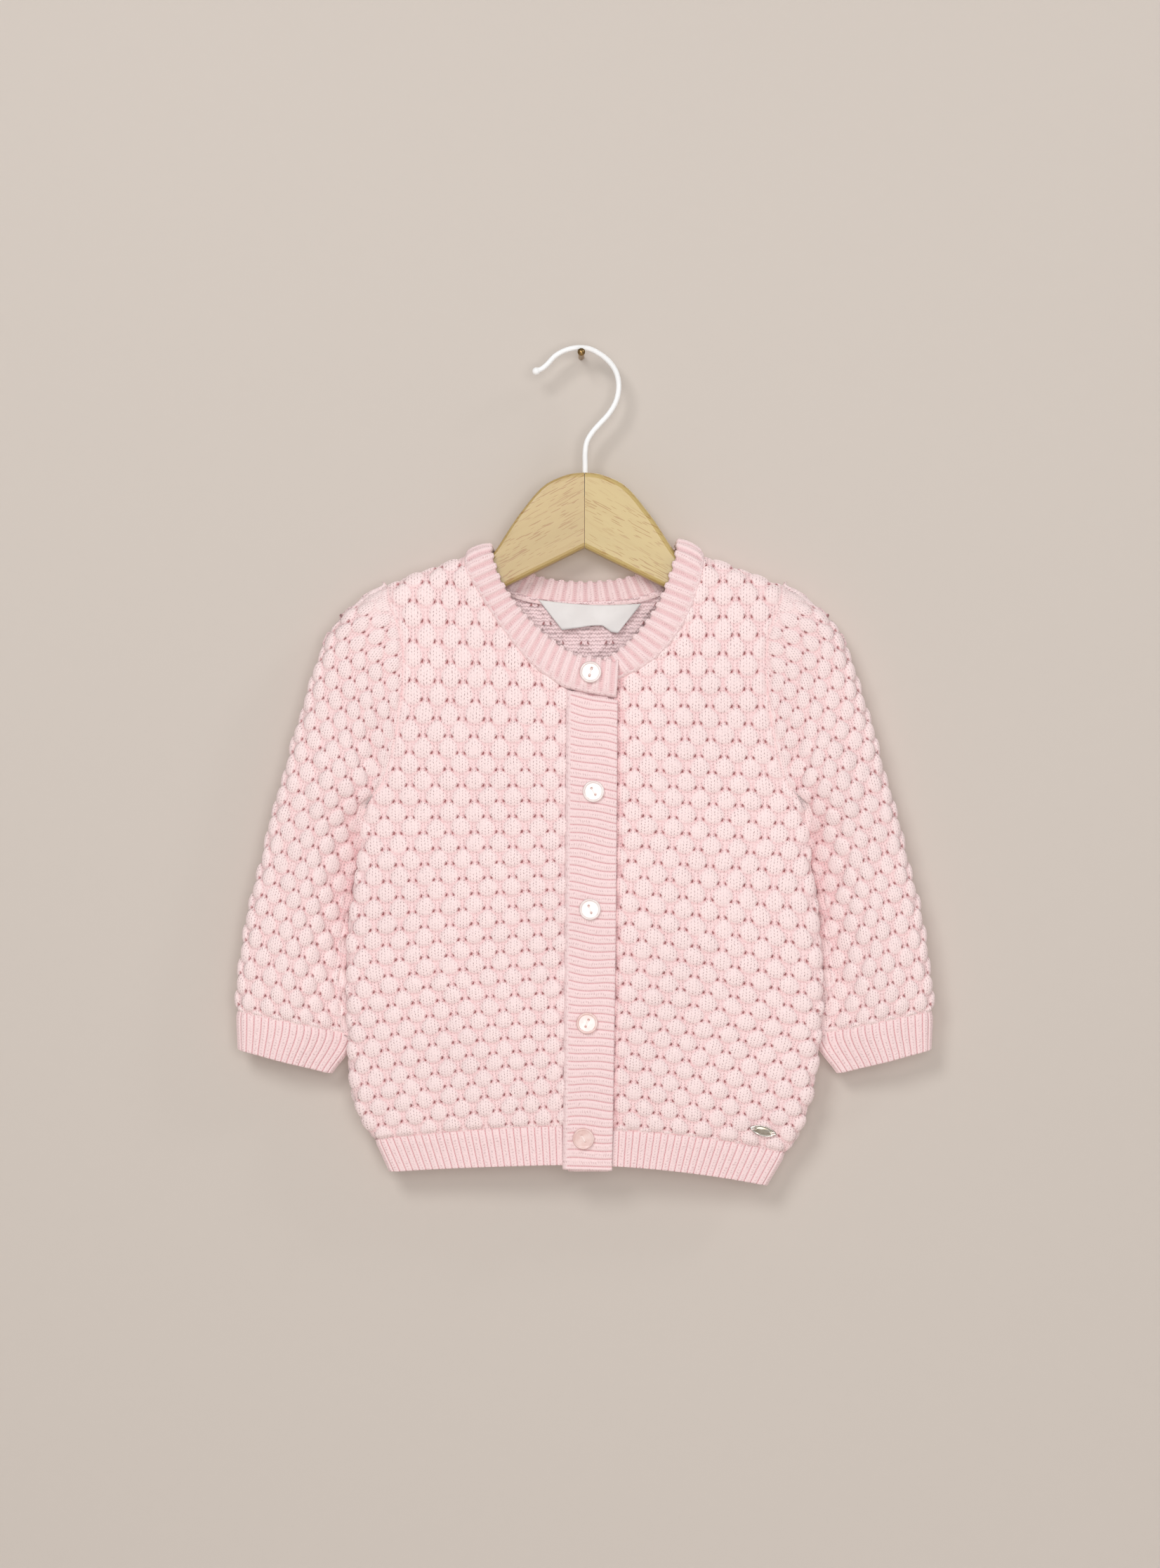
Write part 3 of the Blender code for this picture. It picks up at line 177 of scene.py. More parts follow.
def smooth(x, xs, ys):
    """Cubic through a table's rows, without overshoot and level past its ends."""
    slope = np.diff(ys) / np.diff(xs)
    before, after = slope[:-1], slope[1:]
    same = before * after > 0
    inner = np.where(same, 2 * before * after / np.where(same, before + after, 1), 0)
    tangent = np.concatenate([slope[:1], inner, slope[-1:]])
    x = np.clip(x, xs[0], xs[-1])
    i = np.clip(np.searchsorted(xs, x, side="right") - 1, 0, len(xs) - 2)
    h = xs[i + 1] - xs[i]
    t = (x - xs[i]) / h
    return ((1 + 2 * t) * (1 - t) ** 2 * ys[i] + t * (1 - t) ** 2 * h * tangent[i]
            + t * t * (3 - 2 * t) * ys[i + 1] + t * t * (t - 1) * h * tangent[i + 1])


def read(table, name, at):
    """One column of a table at a value of its first column."""
    key = next(iter(table))
    return smooth(np.asarray(at, float), table[key], table[name])


def ease(q):
    """Rises smoothly from 0 to 1 as q does."""
    q = np.clip(q, 0, 1)
    return q * q * (3 - 2 * q)


def joined(*parts):
    """Arrays or numbers side by side, as the last axis of one array."""
    return np.stack(np.broadcast_arrays(*parts), axis=-1)


def bell(x, width):
    """1 at 0, fading over a width on both sides."""
    return np.exp(-(x / width) ** 2)


def sided(table, at, c):
    """The right or left column of a table, by the sign of c."""
    return np.where(c < 0, read(table, "right", at), read(table, "left", at))


def fold_start(x):
    """Drop at which the cloth begins to roll over the shoulder."""
    return read(SHOULDER, "drop", np.abs(x)) + SHOULDER_FOLD


def shoulder_v(x):
    """Unrolled drop of the shoulder seam."""
    return fold_start(x) - FOLD_LENGTH


def side_c(drop, side):
    """Distance from the centre line along the cloth to the side seam."""
    return sided(BODY, drop, np.asarray(side, float)) + read(BODY, "fold", drop) * (math.pi / 2 - 1)


def depth(face, x, drop):
    """How far the face stands from the hanger's middle plane."""
    fold = read(BODY, "fold", drop)
    shift = read(BODY, "shift", drop)
    shoulders = ease((drop - 200) / 45)
    at_side = SHOULDER_FOLD + (fold - face * shift - SHOULDER_FOLD) * shoulders
    middle = read(BODY, "front" if face == FRONT else "back", drop)
    reach = sided(BODY, drop, x) - fold
    return at_side + (middle - at_side) * (1 - ease((np.abs(x) / reach - 0.25) / 0.75))


def body(face, c, v):
    """Point of the body's outer surface, c along the cloth and v down it, unrolled."""
    c, v = np.broadcast_arrays(np.asarray(c, float), np.asarray(v, float))
    start = fold_start(c)
    over = np.clip((start - v) / SHOULDER_FOLD, 0, 1.8)
    drop = np.where(v < start, start - SHOULDER_FOLD * np.sin(over), v)
    level = np.maximum(v, start)
    fold = read(BODY, "fold", level)
    flat = sided(BODY, level, c) - fold
    turn = np.clip((np.abs(c) - flat) / fold, 0, 1.8)
    x = np.where(turn > 0, flat + fold * np.sin(turn), np.abs(c)) * np.sign(c)
    reach = depth(face, np.sign(c) * np.minimum(np.abs(c), flat), level)
    y = face * (reach * np.cos(over) - fold * (1 - np.cos(turn)))
    return joined(x, y, -drop)


def tube_length(run):
    """Length of the cloth across a sleeve, from its outer edge to its inner one."""
    both = read(SLEEVE, "outer", run) + read(SLEEVE, "inner", run)
    return both * (math.pi / 2 - 1) + read(SLEEVE, "width", run)


def sleeve(side, run, ring, face):
    """Point of a sleeve: run down its outer edge, ring from that edge (0) to the inner (1)."""
    s = {name: read(SLEEVE, name, run) for name in SLEEVE if name != "run"}
    outer, inner, quarter = s["outer"], s["inner"], math.pi / 2
    flat = s["width"] - outer - inner
    along = ring * (quarter * (outer + inner) + flat)
    u = np.clip((along - quarter * outer) / flat, 0, 1)
    first = np.clip(quarter - along / outer, -0.3, quarter)
    last = np.clip((along - quarter * outer - flat) / inner, 0, quarter + 0.3)
    across = np.where(first > 0, outer * (1 - np.sin(first)), outer + u * flat)
    across = np.where(last > 0, s["width"] - inner * (1 - np.sin(last)), across)
    half = outer + (inner - outer) * u
    crown = np.where(face == FRONT, s["crown_f"], s["crown_b"])
    mid = s["mid_outer"] + (s["mid_inner"] - s["mid_outer"]) * ease(u)
    roll = np.where(last > 0, np.cos(last), np.cos(np.maximum(first, 0)))
    slant = np.radians(s["slant"])
    x = s["x"] - across * np.cos(slant)
    drop = s["drop"] + across * np.sin(slant)
    trough = ARMPIT_FOLD["depth"] * ease(
        (drop - ARMPIT_FOLD["starts"]) / (ARMPIT_FOLD["full"] - ARMPIT_FOLD["starts"]))
    trough *= (1 - ease((drop - 240) / 14)) * bell(x - ARMPIT_FOLD["x"], ARMPIT_FOLD["half_width"])
    reach = half * roll + crown * np.sin(math.pi * u) ** 2 - trough * roll
    return joined(side * x, mid + face * reach, -drop)


def on_sleeve(x, y, drop):
    """Run and ring of the sleeve's point that lies at a point of the armhole."""
    low, high = np.zeros(np.shape(x)), np.full(np.shape(x), CUFF_RUN[0])
    for _ in range(40):
        run = (low + high) / 2
        slant = np.radians(read(SLEEVE, "slant", run))
        below = ((x - read(SLEEVE, "x", run)) * np.sin(slant)
                 + (drop - read(SLEEVE, "drop", run)) * np.cos(slant))
        low, high = np.where(below > 0, run, low), np.where(below > 0, high, run)
    across = np.hypot(x - read(SLEEVE, "x", run), drop - read(SLEEVE, "drop", run))
    outer, inner = read(SLEEVE, "outer", run), read(SLEEVE, "inner", run)
    width = read(SLEEVE, "width", run)
    quarter = math.pi / 2
    total = quarter * (outer + inner) + width - outer - inner
    first = outer * (quarter - np.arcsin(np.clip(1 - across / outer, 0, 1)))
    last = inner * np.arccos(np.clip(np.abs(y) / inner, 0, 1))
    along = np.where(across < outer, first, quarter * outer + across - outer)
    along = np.where(across > width - inner, total - quarter * inner + last, along)
    return run, np.clip(along / total, 0, 1)


def armhole(count=24):
    """c and v of the armhole seam from the shoulder to the underarm."""
    start = fold_start(SHOULDER_TIP)
    share = np.linspace(0, 1, 6, endpoint=False)
    c = SHOULDER_TIP + (read(ARMHOLE, "c", start) - SHOULDER_TIP) * share
    v = shoulder_v(SHOULDER_TIP) + FOLD_LENGTH * share
    below = start + (UNDERARM_DROP - start) * (1 - np.linspace(1, 0, count) ** 1.4)
    return np.concatenate([c, read(ARMHOLE, "c", below)]), np.concatenate([v, below])


def hem_drop(face, side, a, edge):
    """Drop of the rib's seam or of the lower edge, a from the centre to the side."""
    seam, seam_fall, low, low_fall = HEM[(face, side)]
    return seam + seam_fall * a ** 1.8 if edge == "seam" else low + low_fall * a ** 1.6


# ------------------------------------------------------------------ meshes

def link(name, data):
    """A new object in the scene."""
    made = bpy.data.objects.new(name, data)
    bpy.context.scene.collection.objects.link(made)
    return made


def new_mesh(name, points, faces, look, uv=None, shade=None, pit=None, centred=True):
    """An object from points in millimetres; uv in stitches, shade and pit are per point."""
    shift = np.array([CENTRE_X if centred else 0.0, 0, 0])
    mesh = bpy.data.meshes.new(name)
    mesh.from_pydata(((np.asarray(points) + shift) * MM).tolist(), [], faces)
    mesh.validate()
    if uv is not None:
        layer = mesh.uv_layers.new(name="stitch")
        corner = np.zeros(len(mesh.loops), int)
        mesh.loops.foreach_get("vertex_index", corner)
        layer.data.foreach_set("uv", np.asarray(uv)[corner].astype(np.float32).ravel())
    for label, values in (("hollow", shade), ("eyelet", pit)):
        if values is not None:
            made = mesh.attributes.new(label, "FLOAT", "POINT")
            made.data.foreach_set("value", np.ascontiguousarray(values, np.float32))
    mesh.materials.append(look)
    mesh.shade_smooth()
    return link(name, mesh)


def ring_faces(rows, steps):
    """Quads between rings of points, and the two caps that close them."""
    faces = [(i * steps + j, i * steps + (j + 1) % steps, (i + 1) * steps + (j + 1) % steps,
              (i + 1) * steps + j) for i in range(rows - 1) for j in range(steps)]
    return faces + [tuple(range(steps))[::-1], tuple(range((rows - 1) * steps, rows * steps))]


def inside(c, v, border):
    """Which points are inside a closed outline, and how each one lies to its nearest edge.

    A row of the outline is c, v, how tightly its seam pulls the cloth in, how much the
    cloth is raised there, and where it is pushed instead of along its own normal: square
    to the front (1) or sideways (-1).  Given back: inside or not, distance, nearest row.
    """
    p = joined(c.ravel(), v.ravel())
    odd = np.zeros(len(p), bool)
    best = np.full(len(p), 1e9)
    near = np.zeros((len(p), 5))
    for first, last in zip(border, np.roll(border, -1, axis=0)):
        crosses = (first[1] > p[:, 1]) != (last[1] > p[:, 1])
        rise = last[1] - first[1] if last[1] != first[1] else 1e-9
        odd ^= crosses & (p[:, 0] < (last[0] - first[0]) * (p[:, 1] - first[1]) / rise + first[0])
        edge = last[:2] - first[:2]
        t = np.clip(((p - first[:2]) @ edge) / max(edge @ edge, 1e-9), 0, 1)
        spot = first + t[:, None] * (last - first)
        gap = np.linalg.norm(p - spot[:, :2], axis=1)
        closer = gap < best
        best[closer], near[closer] = gap[closer], spot[closer]
    return odd.reshape(c.shape), best.reshape(c.shape), near.reshape(c.shape + (5,))


def edge_rows(c, v, pull=0.0, lift=0.0, square=0.0):
    """Part of an outline, with its pull, lift and push."""
    return joined(c, v, pull, lift, square)


def unit(vectors):
    return vectors / np.maximum(np.linalg.norm(vectors, axis=-1, keepdims=True), 1e-9)


def unit_normals(place, p, q, away, step=0.4):
    """Unit normals of a surface of two lengths, on the side of "away"."""
    normal = unit(np.cross(place(p + step, q) - place(p - step, q),
                           place(p, q + step) - place(p, q - step)))
    return normal * np.where(np.sum(normal * away, axis=-1, keepdims=True) < 0, -1, 1)


def bubbles(i, j, rng):
    """Height (0 to 1) of the bubble relief, and the painted shade along its edges, at knit places.
    """
    size = 1 + 0.10 * rng.standard_normal((96, 96))
    lean = 0.035 * rng.standard_normal((96, 96))
    slip = 0.04 * rng.standard_normal((96, 96))
    height, edge = np.zeros(i.shape), np.zeros(i.shape)
    for step in (-1, 0, 1):
        row = np.round(j) + step
        shift = np.where(np.mod(row, 2) == 0, 0.0, 0.5)
        column = np.round(i - shift) + shift
        pick = np.mod(row, 96).astype(int), np.mod(2 * column, 96).astype(int)
        dv = j - row - slip[pick]
        du = np.abs(i - column - lean[pick] * (1 - dv))
        along = dv - 0.07
        half = 0.405 * (1 - 0.46 * ease(-along / 0.62)) * (1 + 0.3 * (size[pick] - 1))
        reach = np.where(along < 0, 0.66, 0.67)
        q = ((du / half) ** 2.2 + (np.abs(along) / reach) ** 2.3) ** 0.44
        rise = size[pick] * np.clip(1 - q ** 2.3, 0, 1) ** 0.60 * (1 - 0.16 * along / 0.66)
        height = np.maximum(height, rise)
        # Painted shade along each bubble's edge.
        edge = np.maximum(edge, 0.30 * bell(q - 1.0, 0.12))
    return height, edge


def knit(name, bounds, spread, place, away, border, rise, plain=None,
         tint=lambda c, v: 0.0, sideways=1, seed=1):
    """One piece of bubble knit, as a sheet laid along its own wales and courses.

    spread turns places in the knit into lengths on the cloth, place turns those into
    points, border is the cut outline on the cloth, and rise the height of a bubble.
    plain is 0 where the bubbles are pulled flat, and tint adds painted shade.  sideways
    is 1 where a side seam's edge is pushed away from the middle, -1 where towards it.
    """
    rng = np.random.default_rng(seed)
    i0, i1, j0, j1 = bounds
    i = i0 + (np.arange((i1 - i0) * WALES) + 0.5) / WALES
    j = j0 + np.arange((j1 - j0) * COURSES + 1) / COURSES
    i, j = np.meshgrid(i, j)
    set_i, rim, eyelets = i.copy(), np.zeros(i.shape), []
    for row in range(j0 + 1, j1):
        shift = 0 if row % 2 == 0 else WALES // 2
        r = (row - j0) * COURSES
        for k in range(shift - 1 + WALES, i.shape[1] - 4, WALES):
            for side in (-1, 1):
                wide = rng.uniform(0.7, 1.15) * (1.12 if side < 0 else 0.92)
                kk = k + 2 * side
                eyelets.append((r - 7, kk))
                for line, (centre, half) in enumerate(EYELET_SHAPE, r - 7):
                    ends = (side * centre + half * wide * np.array([-1, 1])) / MEAN_PITCH
                    set_i[line, kk:kk + 2] = i0 + (k + 1) / WALES + ends
                    rim[line, kk:kk + 2] = 1.0
    c, v = spread(set_i, j)
    middles = (np.mean([a[:-1, :-1], a[1:, :-1], a[:-1, 1:], a[1:, 1:]], axis=0) for a in (c, v))
    kept = inside(*middles, border)[0]
    _, gap, near = inside(c, v, border)
    used = np.zeros(i.shape, int)
    for a in (slice(None, -1), slice(1, None)):
        for b in (slice(None, -1), slice(1, None)):
            used[a, b] += kept
    on_edge = (used > 0) & (used < 4)
    gap = np.where(on_edge, 0, gap)
    c = np.where(on_edge, near[..., 0], c)
    v = np.where(on_edge, near[..., 1], v)
    pull, lift, square = near[..., 2], near[..., 3], near[..., 4]
    flatten = plain(c, v) if plain else np.ones(c.shape)
    height, line = bubbles(i, j, rng)
    beside = square < 0
    calm = (1 - pull * (1 - ease((gap - 0.6) / 3.2))) * flatten
    calm = np.where(beside, calm * ease((gap - 0.3) / 2.2), calm)

    base = place(c, v)
    outward = away(base)
    normal = unit_normals(place, c, v, outward)
    bend = np.where(beside, 1 - ease(gap / 6),
                    square * (1 - ease(gap / 9)) * ease(np.abs(base[..., 1]) / 3))[..., None]
    straight = np.where(beside[..., None], sideways * np.sign(base[..., :1]) * [1.0, 0.0, 0.0],
                        np.where(outward[..., 1:2] < 0, -1, 1) * [0.0, 1.0, 0.0])
    normal = unit(normal * (1 - bend) + straight * bend)
    sink = 1.5 * pull * bell(gap, 1.3) - lift * bell(gap, 5.0)
    points = base + normal * (VALLEY + height * rise(c, v) * calm - sink)[..., None]
    # Painted shade: in the valleys between the bubbles, along their edges, round the eyelets, where
    # tint puts it and along seams that draw the cloth in.
    hollow = np.clip(0.75 - 1.3 * height, 0, 1) * 0.52 + 0.8 * line + 0.30 * rim + tint(c, v)
    hollow = hollow * (0.3 + 0.7 * calm) + 0.5 * pull * bell(gap, 1.4)
    # Painted shade round the eyelets.
    eyelet = 0.35 * rim * calm
    uv = joined(i * PLAIN_WALES, -j * PLAIN_ROWS)

    cuts = [(r, k) for r, k in eyelets if kept[r:r + 2, k].all()
            and gap[r:r + 3, k:k + 2].min() > 2.0 and flatten[r + 1, k] > 0.6]
    for r, k in cuts:
        kept[r:r + 2, k] = False
    index = np.arange(i.size).reshape(i.shape)
    quads = joined(index[:-1, :-1], index[1:, :-1], index[1:, 1:], index[:-1, 1:])[kept]
    points, normal, uv = points.reshape(-1, 3), normal.reshape(-1, 3), uv.reshape(-1, 2)
    rows, cols = np.array(cuts).T
    loop = joined(*(index[rows + a, cols + b] for a, b in
                    ((0, 0), (1, 0), (2, 0), (2, 1), (1, 1), (0, 1))))
    middle = points[loop].mean(axis=1, keepdims=True)
    floor = middle + (points[loop] - middle) * 0.6 - normal[loop] * PIT
    low = len(points) + np.arange(loop.size).reshape(loop.shape)
    walls = joined(loop, np.roll(loop, -1, 1), np.roll(low, -1, 1), low).reshape(-1, 4)
    quads = np.concatenate([quads, walls, low[:, [0, 1, 4, 5]], low[:, [1, 2, 3, 4]]])
    points = np.concatenate([points, floor.reshape(-1, 3)])
    uv = np.concatenate([uv, uv[loop.ravel()]])
    # The floors of the eyelets' pits get the painted shade in full.
    hollow, eyelet = (np.concatenate([x.ravel(), np.ones(loop.size)])
                      for x in (np.clip(hollow, 0, 1), eyelet))
    some = quads[len(quads) // 3: len(quads) // 3 + 2000]
    some = some[some.max(axis=1) < len(normal)]
    a, b, _, d = (points[some[:, k]] for k in range(4))
    if np.sum(np.cross(b - a, d - a) * normal[some[:, 0]]) < 0:
        quads = quads[:, ::-1]
    names, compact = np.unique(quads, return_inverse=True)
    return new_mesh(name, points[names], compact.reshape(quads.shape).tolist(), knit_cloth,
                    uv[names], hollow[names], eyelet[names])


def band_wall(name, look, points, normal, thick, relief, uv, shade, ring=False):
    """A closed ribbed band: a grid of points, its relief outside, its wall and its rims."""
    outer = points + normal * relief[..., None]
    inner = points - normal * (thick - 0.35 * relief)[..., None]
    under = relief.size
    grid = np.arange(under).reshape(relief.shape)
    if ring:
        grid = np.concatenate([grid, grid[:, :1]], axis=1)
    rims = [(grid[0] + under, grid[0]), (grid[-1], grid[-1] + under)]
    if not ring:
        rims += [(grid[:, 0], grid[:, 0] + under), (grid[:, -1] + under, grid[:, -1])]
    a, b, c, d = grid[:-1, :-1], grid[:-1, 1:], grid[1:, 1:], grid[1:, :-1]
    quads = [(a, b, c, d), (d + under, c + under, b + under, a + under)]
    quads += [(one[:-1], one[1:], two[1:], two[:-1]) for one, two in rims]
    faces = np.concatenate([joined(*corners).reshape(-1, 4) for corners in quads])
    if np.dot(np.cross(outer[0, 1] - outer[0, 0], outer[1, 0] - outer[0, 0]), normal[0, 0]) < 0:
        faces = faces[:, ::-1]
    uv, shade = (np.concatenate([x.reshape(under, -1)] * 2) for x in (uv, shade))
    return new_mesh(name, np.concatenate([outer.reshape(-1, 3), inner.reshape(-1, 3)]),
                    faces.tolist(), look, uv, shade[:, 0])


def rib_relief(phase, height, recess):
    """Height across the ribs (one to each whole number) and the shade between them.

    recess is the share of a rib's pitch that the groove beside it takes up.
    """
    off = np.abs(phase - np.round(phase)) * 2
    wall = ease((1 - recess - off) / 0.24 + 0.5)
    crown = np.sqrt(1 - (np.clip(off / (1.05 - recess), 0, 1)) ** 2 * 0.6)
    return height * wall * crown, 1 - wall


def rounded(gap, radius=0.9):
    """How far a face has dropped towards a rounded edge, at a distance from it."""
    left = 1 - np.clip(gap / radius, 0, 1)
    return radius * (1 - np.sqrt(np.clip(1 - left ** 2, 0, 1)))


def down_stations(length, fine=0.25, step=1.2):
    """Places along a length, close together near both of its ends."""
    near = np.array([0, fine, 2 * fine, 0.9, 1.5])
    middle = np.linspace(1.5, length - 1.5, max(int((length - 3) / step), 2) + 1)[1:-1]
    return np.concatenate([near, middle, length - near[::-1]]) / length


# ------------------------------------------------------------------ materials

class Value:
    """A node's output, which takes part in ordinary arithmetic."""

    def __init__(self, graph, socket):
        self.graph, self.socket = graph, socket

    def __abs__(self):
        return self.graph.math("ABSOLUTE", self)


for sign, operation in (("add", "ADD"), ("sub", "SUBTRACT"), ("mul", "MULTIPLY"),
                        ("truediv", "DIVIDE"), ("pow", "POWER")):
    setattr(Value, f"__{sign}__", lambda a, b, kind=operation: a.graph.math(kind, a, b))
    setattr(Value, f"__r{sign}__", lambda a, b, kind=operation: a.graph.math(kind, b, a))


class Graph:
    """Short calls for making the nodes of one material."""

    def __init__(self, name):
        self.material = bpy.data.materials.new(name)
        self.material.use_nodes = True
        self.tree = self.material.node_tree
        self.shader = self.tree.nodes["Principled BSDF"]
        self.where = self.out("TexCoord", output="Object")

    def node(self, kind, inputs=None, **settings):
        made = self.tree.nodes.new("ShaderNode" + kind)
        for key, value in settings.items():
            setattr(made, key, value)
        for key, value in (inputs or {}).items():
            self.put(made, key, value)
        return made

    def out(self, kind, inputs=None, output=0, **settings):
        return Value(self, self.node(kind, inputs, **settings).outputs[output])

    def put(self, node, key, value):
        socket = node.inputs[key]
        value = value.socket if isinstance(value, Value) else value
        value = value.outputs[0] if isinstance(value, bpy.types.Node) else value
        if isinstance(value, bpy.types.NodeSocket):
            self.tree.links.new(value, socket)
        else:
            socket.default_value = value

    def math(self, operation, *values):
        return self.out("Math", dict(enumerate(values)), operation=operation)

    def cosine(self, turns):
        return self.math("COSINE", turns * (2 * math.pi))

    def mix(self, share, first, last):
        return self.out("Mix", {0: share, 6: first, 7: last}, 2, data_type="RGBA")

    def choose(self, share, first, last):
        return self.out("Mix", {0: share, 2: first, 3: last}, data_type="FLOAT")

    def mapped(self, vector, **settings):
        return self.node("Mapping", {"Vector": vector, **settings})

    def noise(self, vector, scale, detail=3.0, rough=0.5):
        return self.out("TexNoise", {"Vector": vector, "Scale": scale, "Detail": detail,
                                     "Roughness": rough})

    def ramp(self, value, low, high):
        """Rises from 0 to 1 between two values."""
        return self.out("MapRange", {0: value, 1: low, 2: high}, interpolation_type="SMOOTHSTEP")

    def clouds(self, scale, detail, low, high, first, last):
        """Two colours, mixed in soft clouds."""
        return self.mix(self.ramp(self.noise(self.where, scale, detail), low, high), first, last)

    def bump(self, strength, distance, height):
        return self.node("Bump", {"Strength": strength, "Distance": distance * MM,
                                  "Height": height})

    def per_point(self, name):
        return self.out("Attribute", output="Fac", attribute_name=name)

    def finish(self, **sockets):
        for key, value in sockets.items():
            self.put(self.shader, key.replace("_", " "), value)
        return self.material


def srgb(*levels):
    """A colour from its 0 to 255 display levels."""
    linear = [(v / 255 / 12.92) if v <= 10 else ((v / 255 + 0.055) / 1.055) ** 2.4 for v in levels]
    return (*linear, 1.0)


# Two colours: the reverse's own pink lifted lighter as painted light for the dim inside, and
# painted shade for the eyelets' pits.
INSIDE_PAINTED_LIGHT, EYELET_SHADE = srgb(255, 228, 229), srgb(180, 124, 124)


def knit_look(name, light, shade_colour, gap, stitch_gap_shade):
    """Knitted cotton: V stitches outside, purl loops inside; painted shade in the folds, the stitch
    gaps and the eyelets, and painted light on the reverse.
    """
    g = Graph(name)
    parts = g.node("SeparateXYZ", {0: g.node("UVMap", uv_map="stitch")}).outputs
    u, v = Value(g, parts[0]), Value(g, parts[1])
    drift = g.noise(g.where, 380, 1) - 0.5
    skew = g.noise(g.mapped(g.where, Location=(0.3, 0.1, 0.7)), 460, 1) - 0.5
    wale, row = u + drift * 0.55, v + skew * 1.1
    across = g.math("FRACT", wale)
    a = abs(across - 0.5) * 2.0
    arch = 1.0 - (1.0 - a) ** 3.0 * 0.5 - a ** 6.0 * 0.22
    wave = g.cosine(row - a * 0.6)
    plain = arch * (0.84 + wave * 0.16)
    odd = abs(g.math("MODULO", g.math("FLOOR", wale), 2.0))
    between = g.math("FRACT", row + odd * 0.5) - 0.5
    slant = (across - 0.5) * 2.0 - between * (0.6 - odd * 1.2)
    # Dots of painted shade at the gaps in each stitch's middle.
    dot = abs(slant / 0.36) ** 2.0 + (abs(between) / 0.34) ** 2.0
    dot = g.ramp(dot, 1.0, 0.1) * g.ramp(g.noise(g.where, 300, 2), 0.28, 0.62)
    purl = 0.5 + g.cosine(row + g.cosine(u) * 0.12) * 0.5
    reverse = g.out("NewGeometry", output="Backfacing")
    height = g.choose(reverse, plain, purl)
    bump = g.bump(0.85, 0.4, height + g.noise(g.where, 900, 2) * 0.3)
    tone = g.clouds(14, 2, 0.3, 0.7, light, tuple(c * 0.97 for c in light[:3]) + (1,))
    # Painted shade in the folds, valleys and eyelet rims, by the per-point mask.
    tone = g.mix(g.ramp(g.per_point("hollow"), 0.0, 1.0) * (0.8 + wave * 0.2), tone, shade_colour)
    # Painted shade in the hollows between the stitches.
    tone = g.mix((1.0 - height) * 0.22, tone, shade_colour)
    # The reverse: its own pinker colour, lifted lighter than the yarn as painted light for the dim
    # inside.
    tone = g.mix(reverse * 0.9, tone, INSIDE_PAINTED_LIGHT)
    # Painted shade in the gaps at the stitches' middles, and in the purl troughs on the reverse.
    tone = g.mix(g.choose(reverse, dot, g.ramp(purl, 0.30, 0.0) * 0.7) * stitch_gap_shade, tone, gap)
    # Painted shade in the eyelets' pits.
    tone = g.mix(g.ramp(g.per_point("eyelet"), 0.1, 0.9), tone, EYELET_SHADE)
    return g.finish(Base_Color=tone, Roughness=0.92, Normal=bump, Sheen_Weight=0.25,
                    Sheen_Roughness=0.5, Specular_IOR_Level=0.2)


def pearl_look(name, colour, glow):
    """Shell button: faint clouds of colour under a clear gloss, thread through its holes."""
    g = Graph(name)
    tone = g.clouds(260, 4, 0.35, 0.7, colour, glow)
    # Painted shade in the slots.
    tone = g.mix(g.per_point("eyelet") * 0.85, tone, srgb(196, 142, 126))
    tone = g.mix(g.per_point("hollow"), tone, srgb(250, 232, 228))
    return g.finish(Base_Color=tone, Roughness=0.25, Coat_Weight=0.6, Coat_Roughness=0.1,
                    Specular_IOR_Level=0.6)


def wood_look(name, side, tint):
    """Pale rubberwood with its short brown pores along the arm."""
    g = Graph(name)
    turned = g.mapped(g.where, Rotation=(0, side * math.radians(-29), 0))

    def grain(scale, detail, rough=0.5):
        return g.noise(g.mapped(turned, Scale=scale), 1.0, detail, rough)

    def tinted(*steps):
        return srgb(*(level + step for level, step in zip(tint, steps)))

    streak = grain((16, 90, 170), 4, 0.6)
    pore = g.ramp(grain((170, 600, 1500), 0), 0.62, 0.70)
    pore = pore * g.ramp(grain((20, 60, 90), 1), 0.30, 0.60)
    tone = g.mix(g.ramp(grain((5, 26, 40), 3), 0.35, 0.68), tinted(5, 5, 5), tinted(-7, -7, -7))
    tone = g.mix(g.ramp(streak, 0.45, 0.72) * 0.4, tone, tinted(-12, -18, -22))
    tone = g.mix(pore * 0.6, tone, tinted(-30, -52, -50))
    return g.finish(Base_Color=tone, Roughness=0.38, Normal=g.bump(0.25, 0.1, streak - pore * 1.5),
                    Coat_Weight=0.2, Coat_Roughness=0.25)


def paint_look():
    """White paint on the wire, with a faint orange peel."""
    g = Graph("white_paint_look")
    tone = g.clouds(60, 3, 0.3, 0.7, srgb(244, 244, 244), srgb(236, 236, 236))
    peel = g.bump(0.15, 0.05, g.noise(g.where, 420))
    return g.finish(Base_Color=tone, Roughness=0.32, Normal=peel, Coat_Weight=0.3,
                    Coat_Roughness=0.15)


def tape_look():
    """Satin tape, woven close."""
    g = Graph("label_tape_look")
    weave = g.out("TexWave", {"Vector": g.where, "Scale": 420.0, "Distortion": 0.4}, "Fac",
                  bands_direction="Z")
    tone = g.clouds(90, 3, 0.3, 0.7, srgb(226, 222, 220), srgb(219, 214, 212))
    return g.finish(Base_Color=tone, Roughness=0.55, Normal=g.bump(0.2, 0.06, weave),
                    Sheen_Weight=0.2)


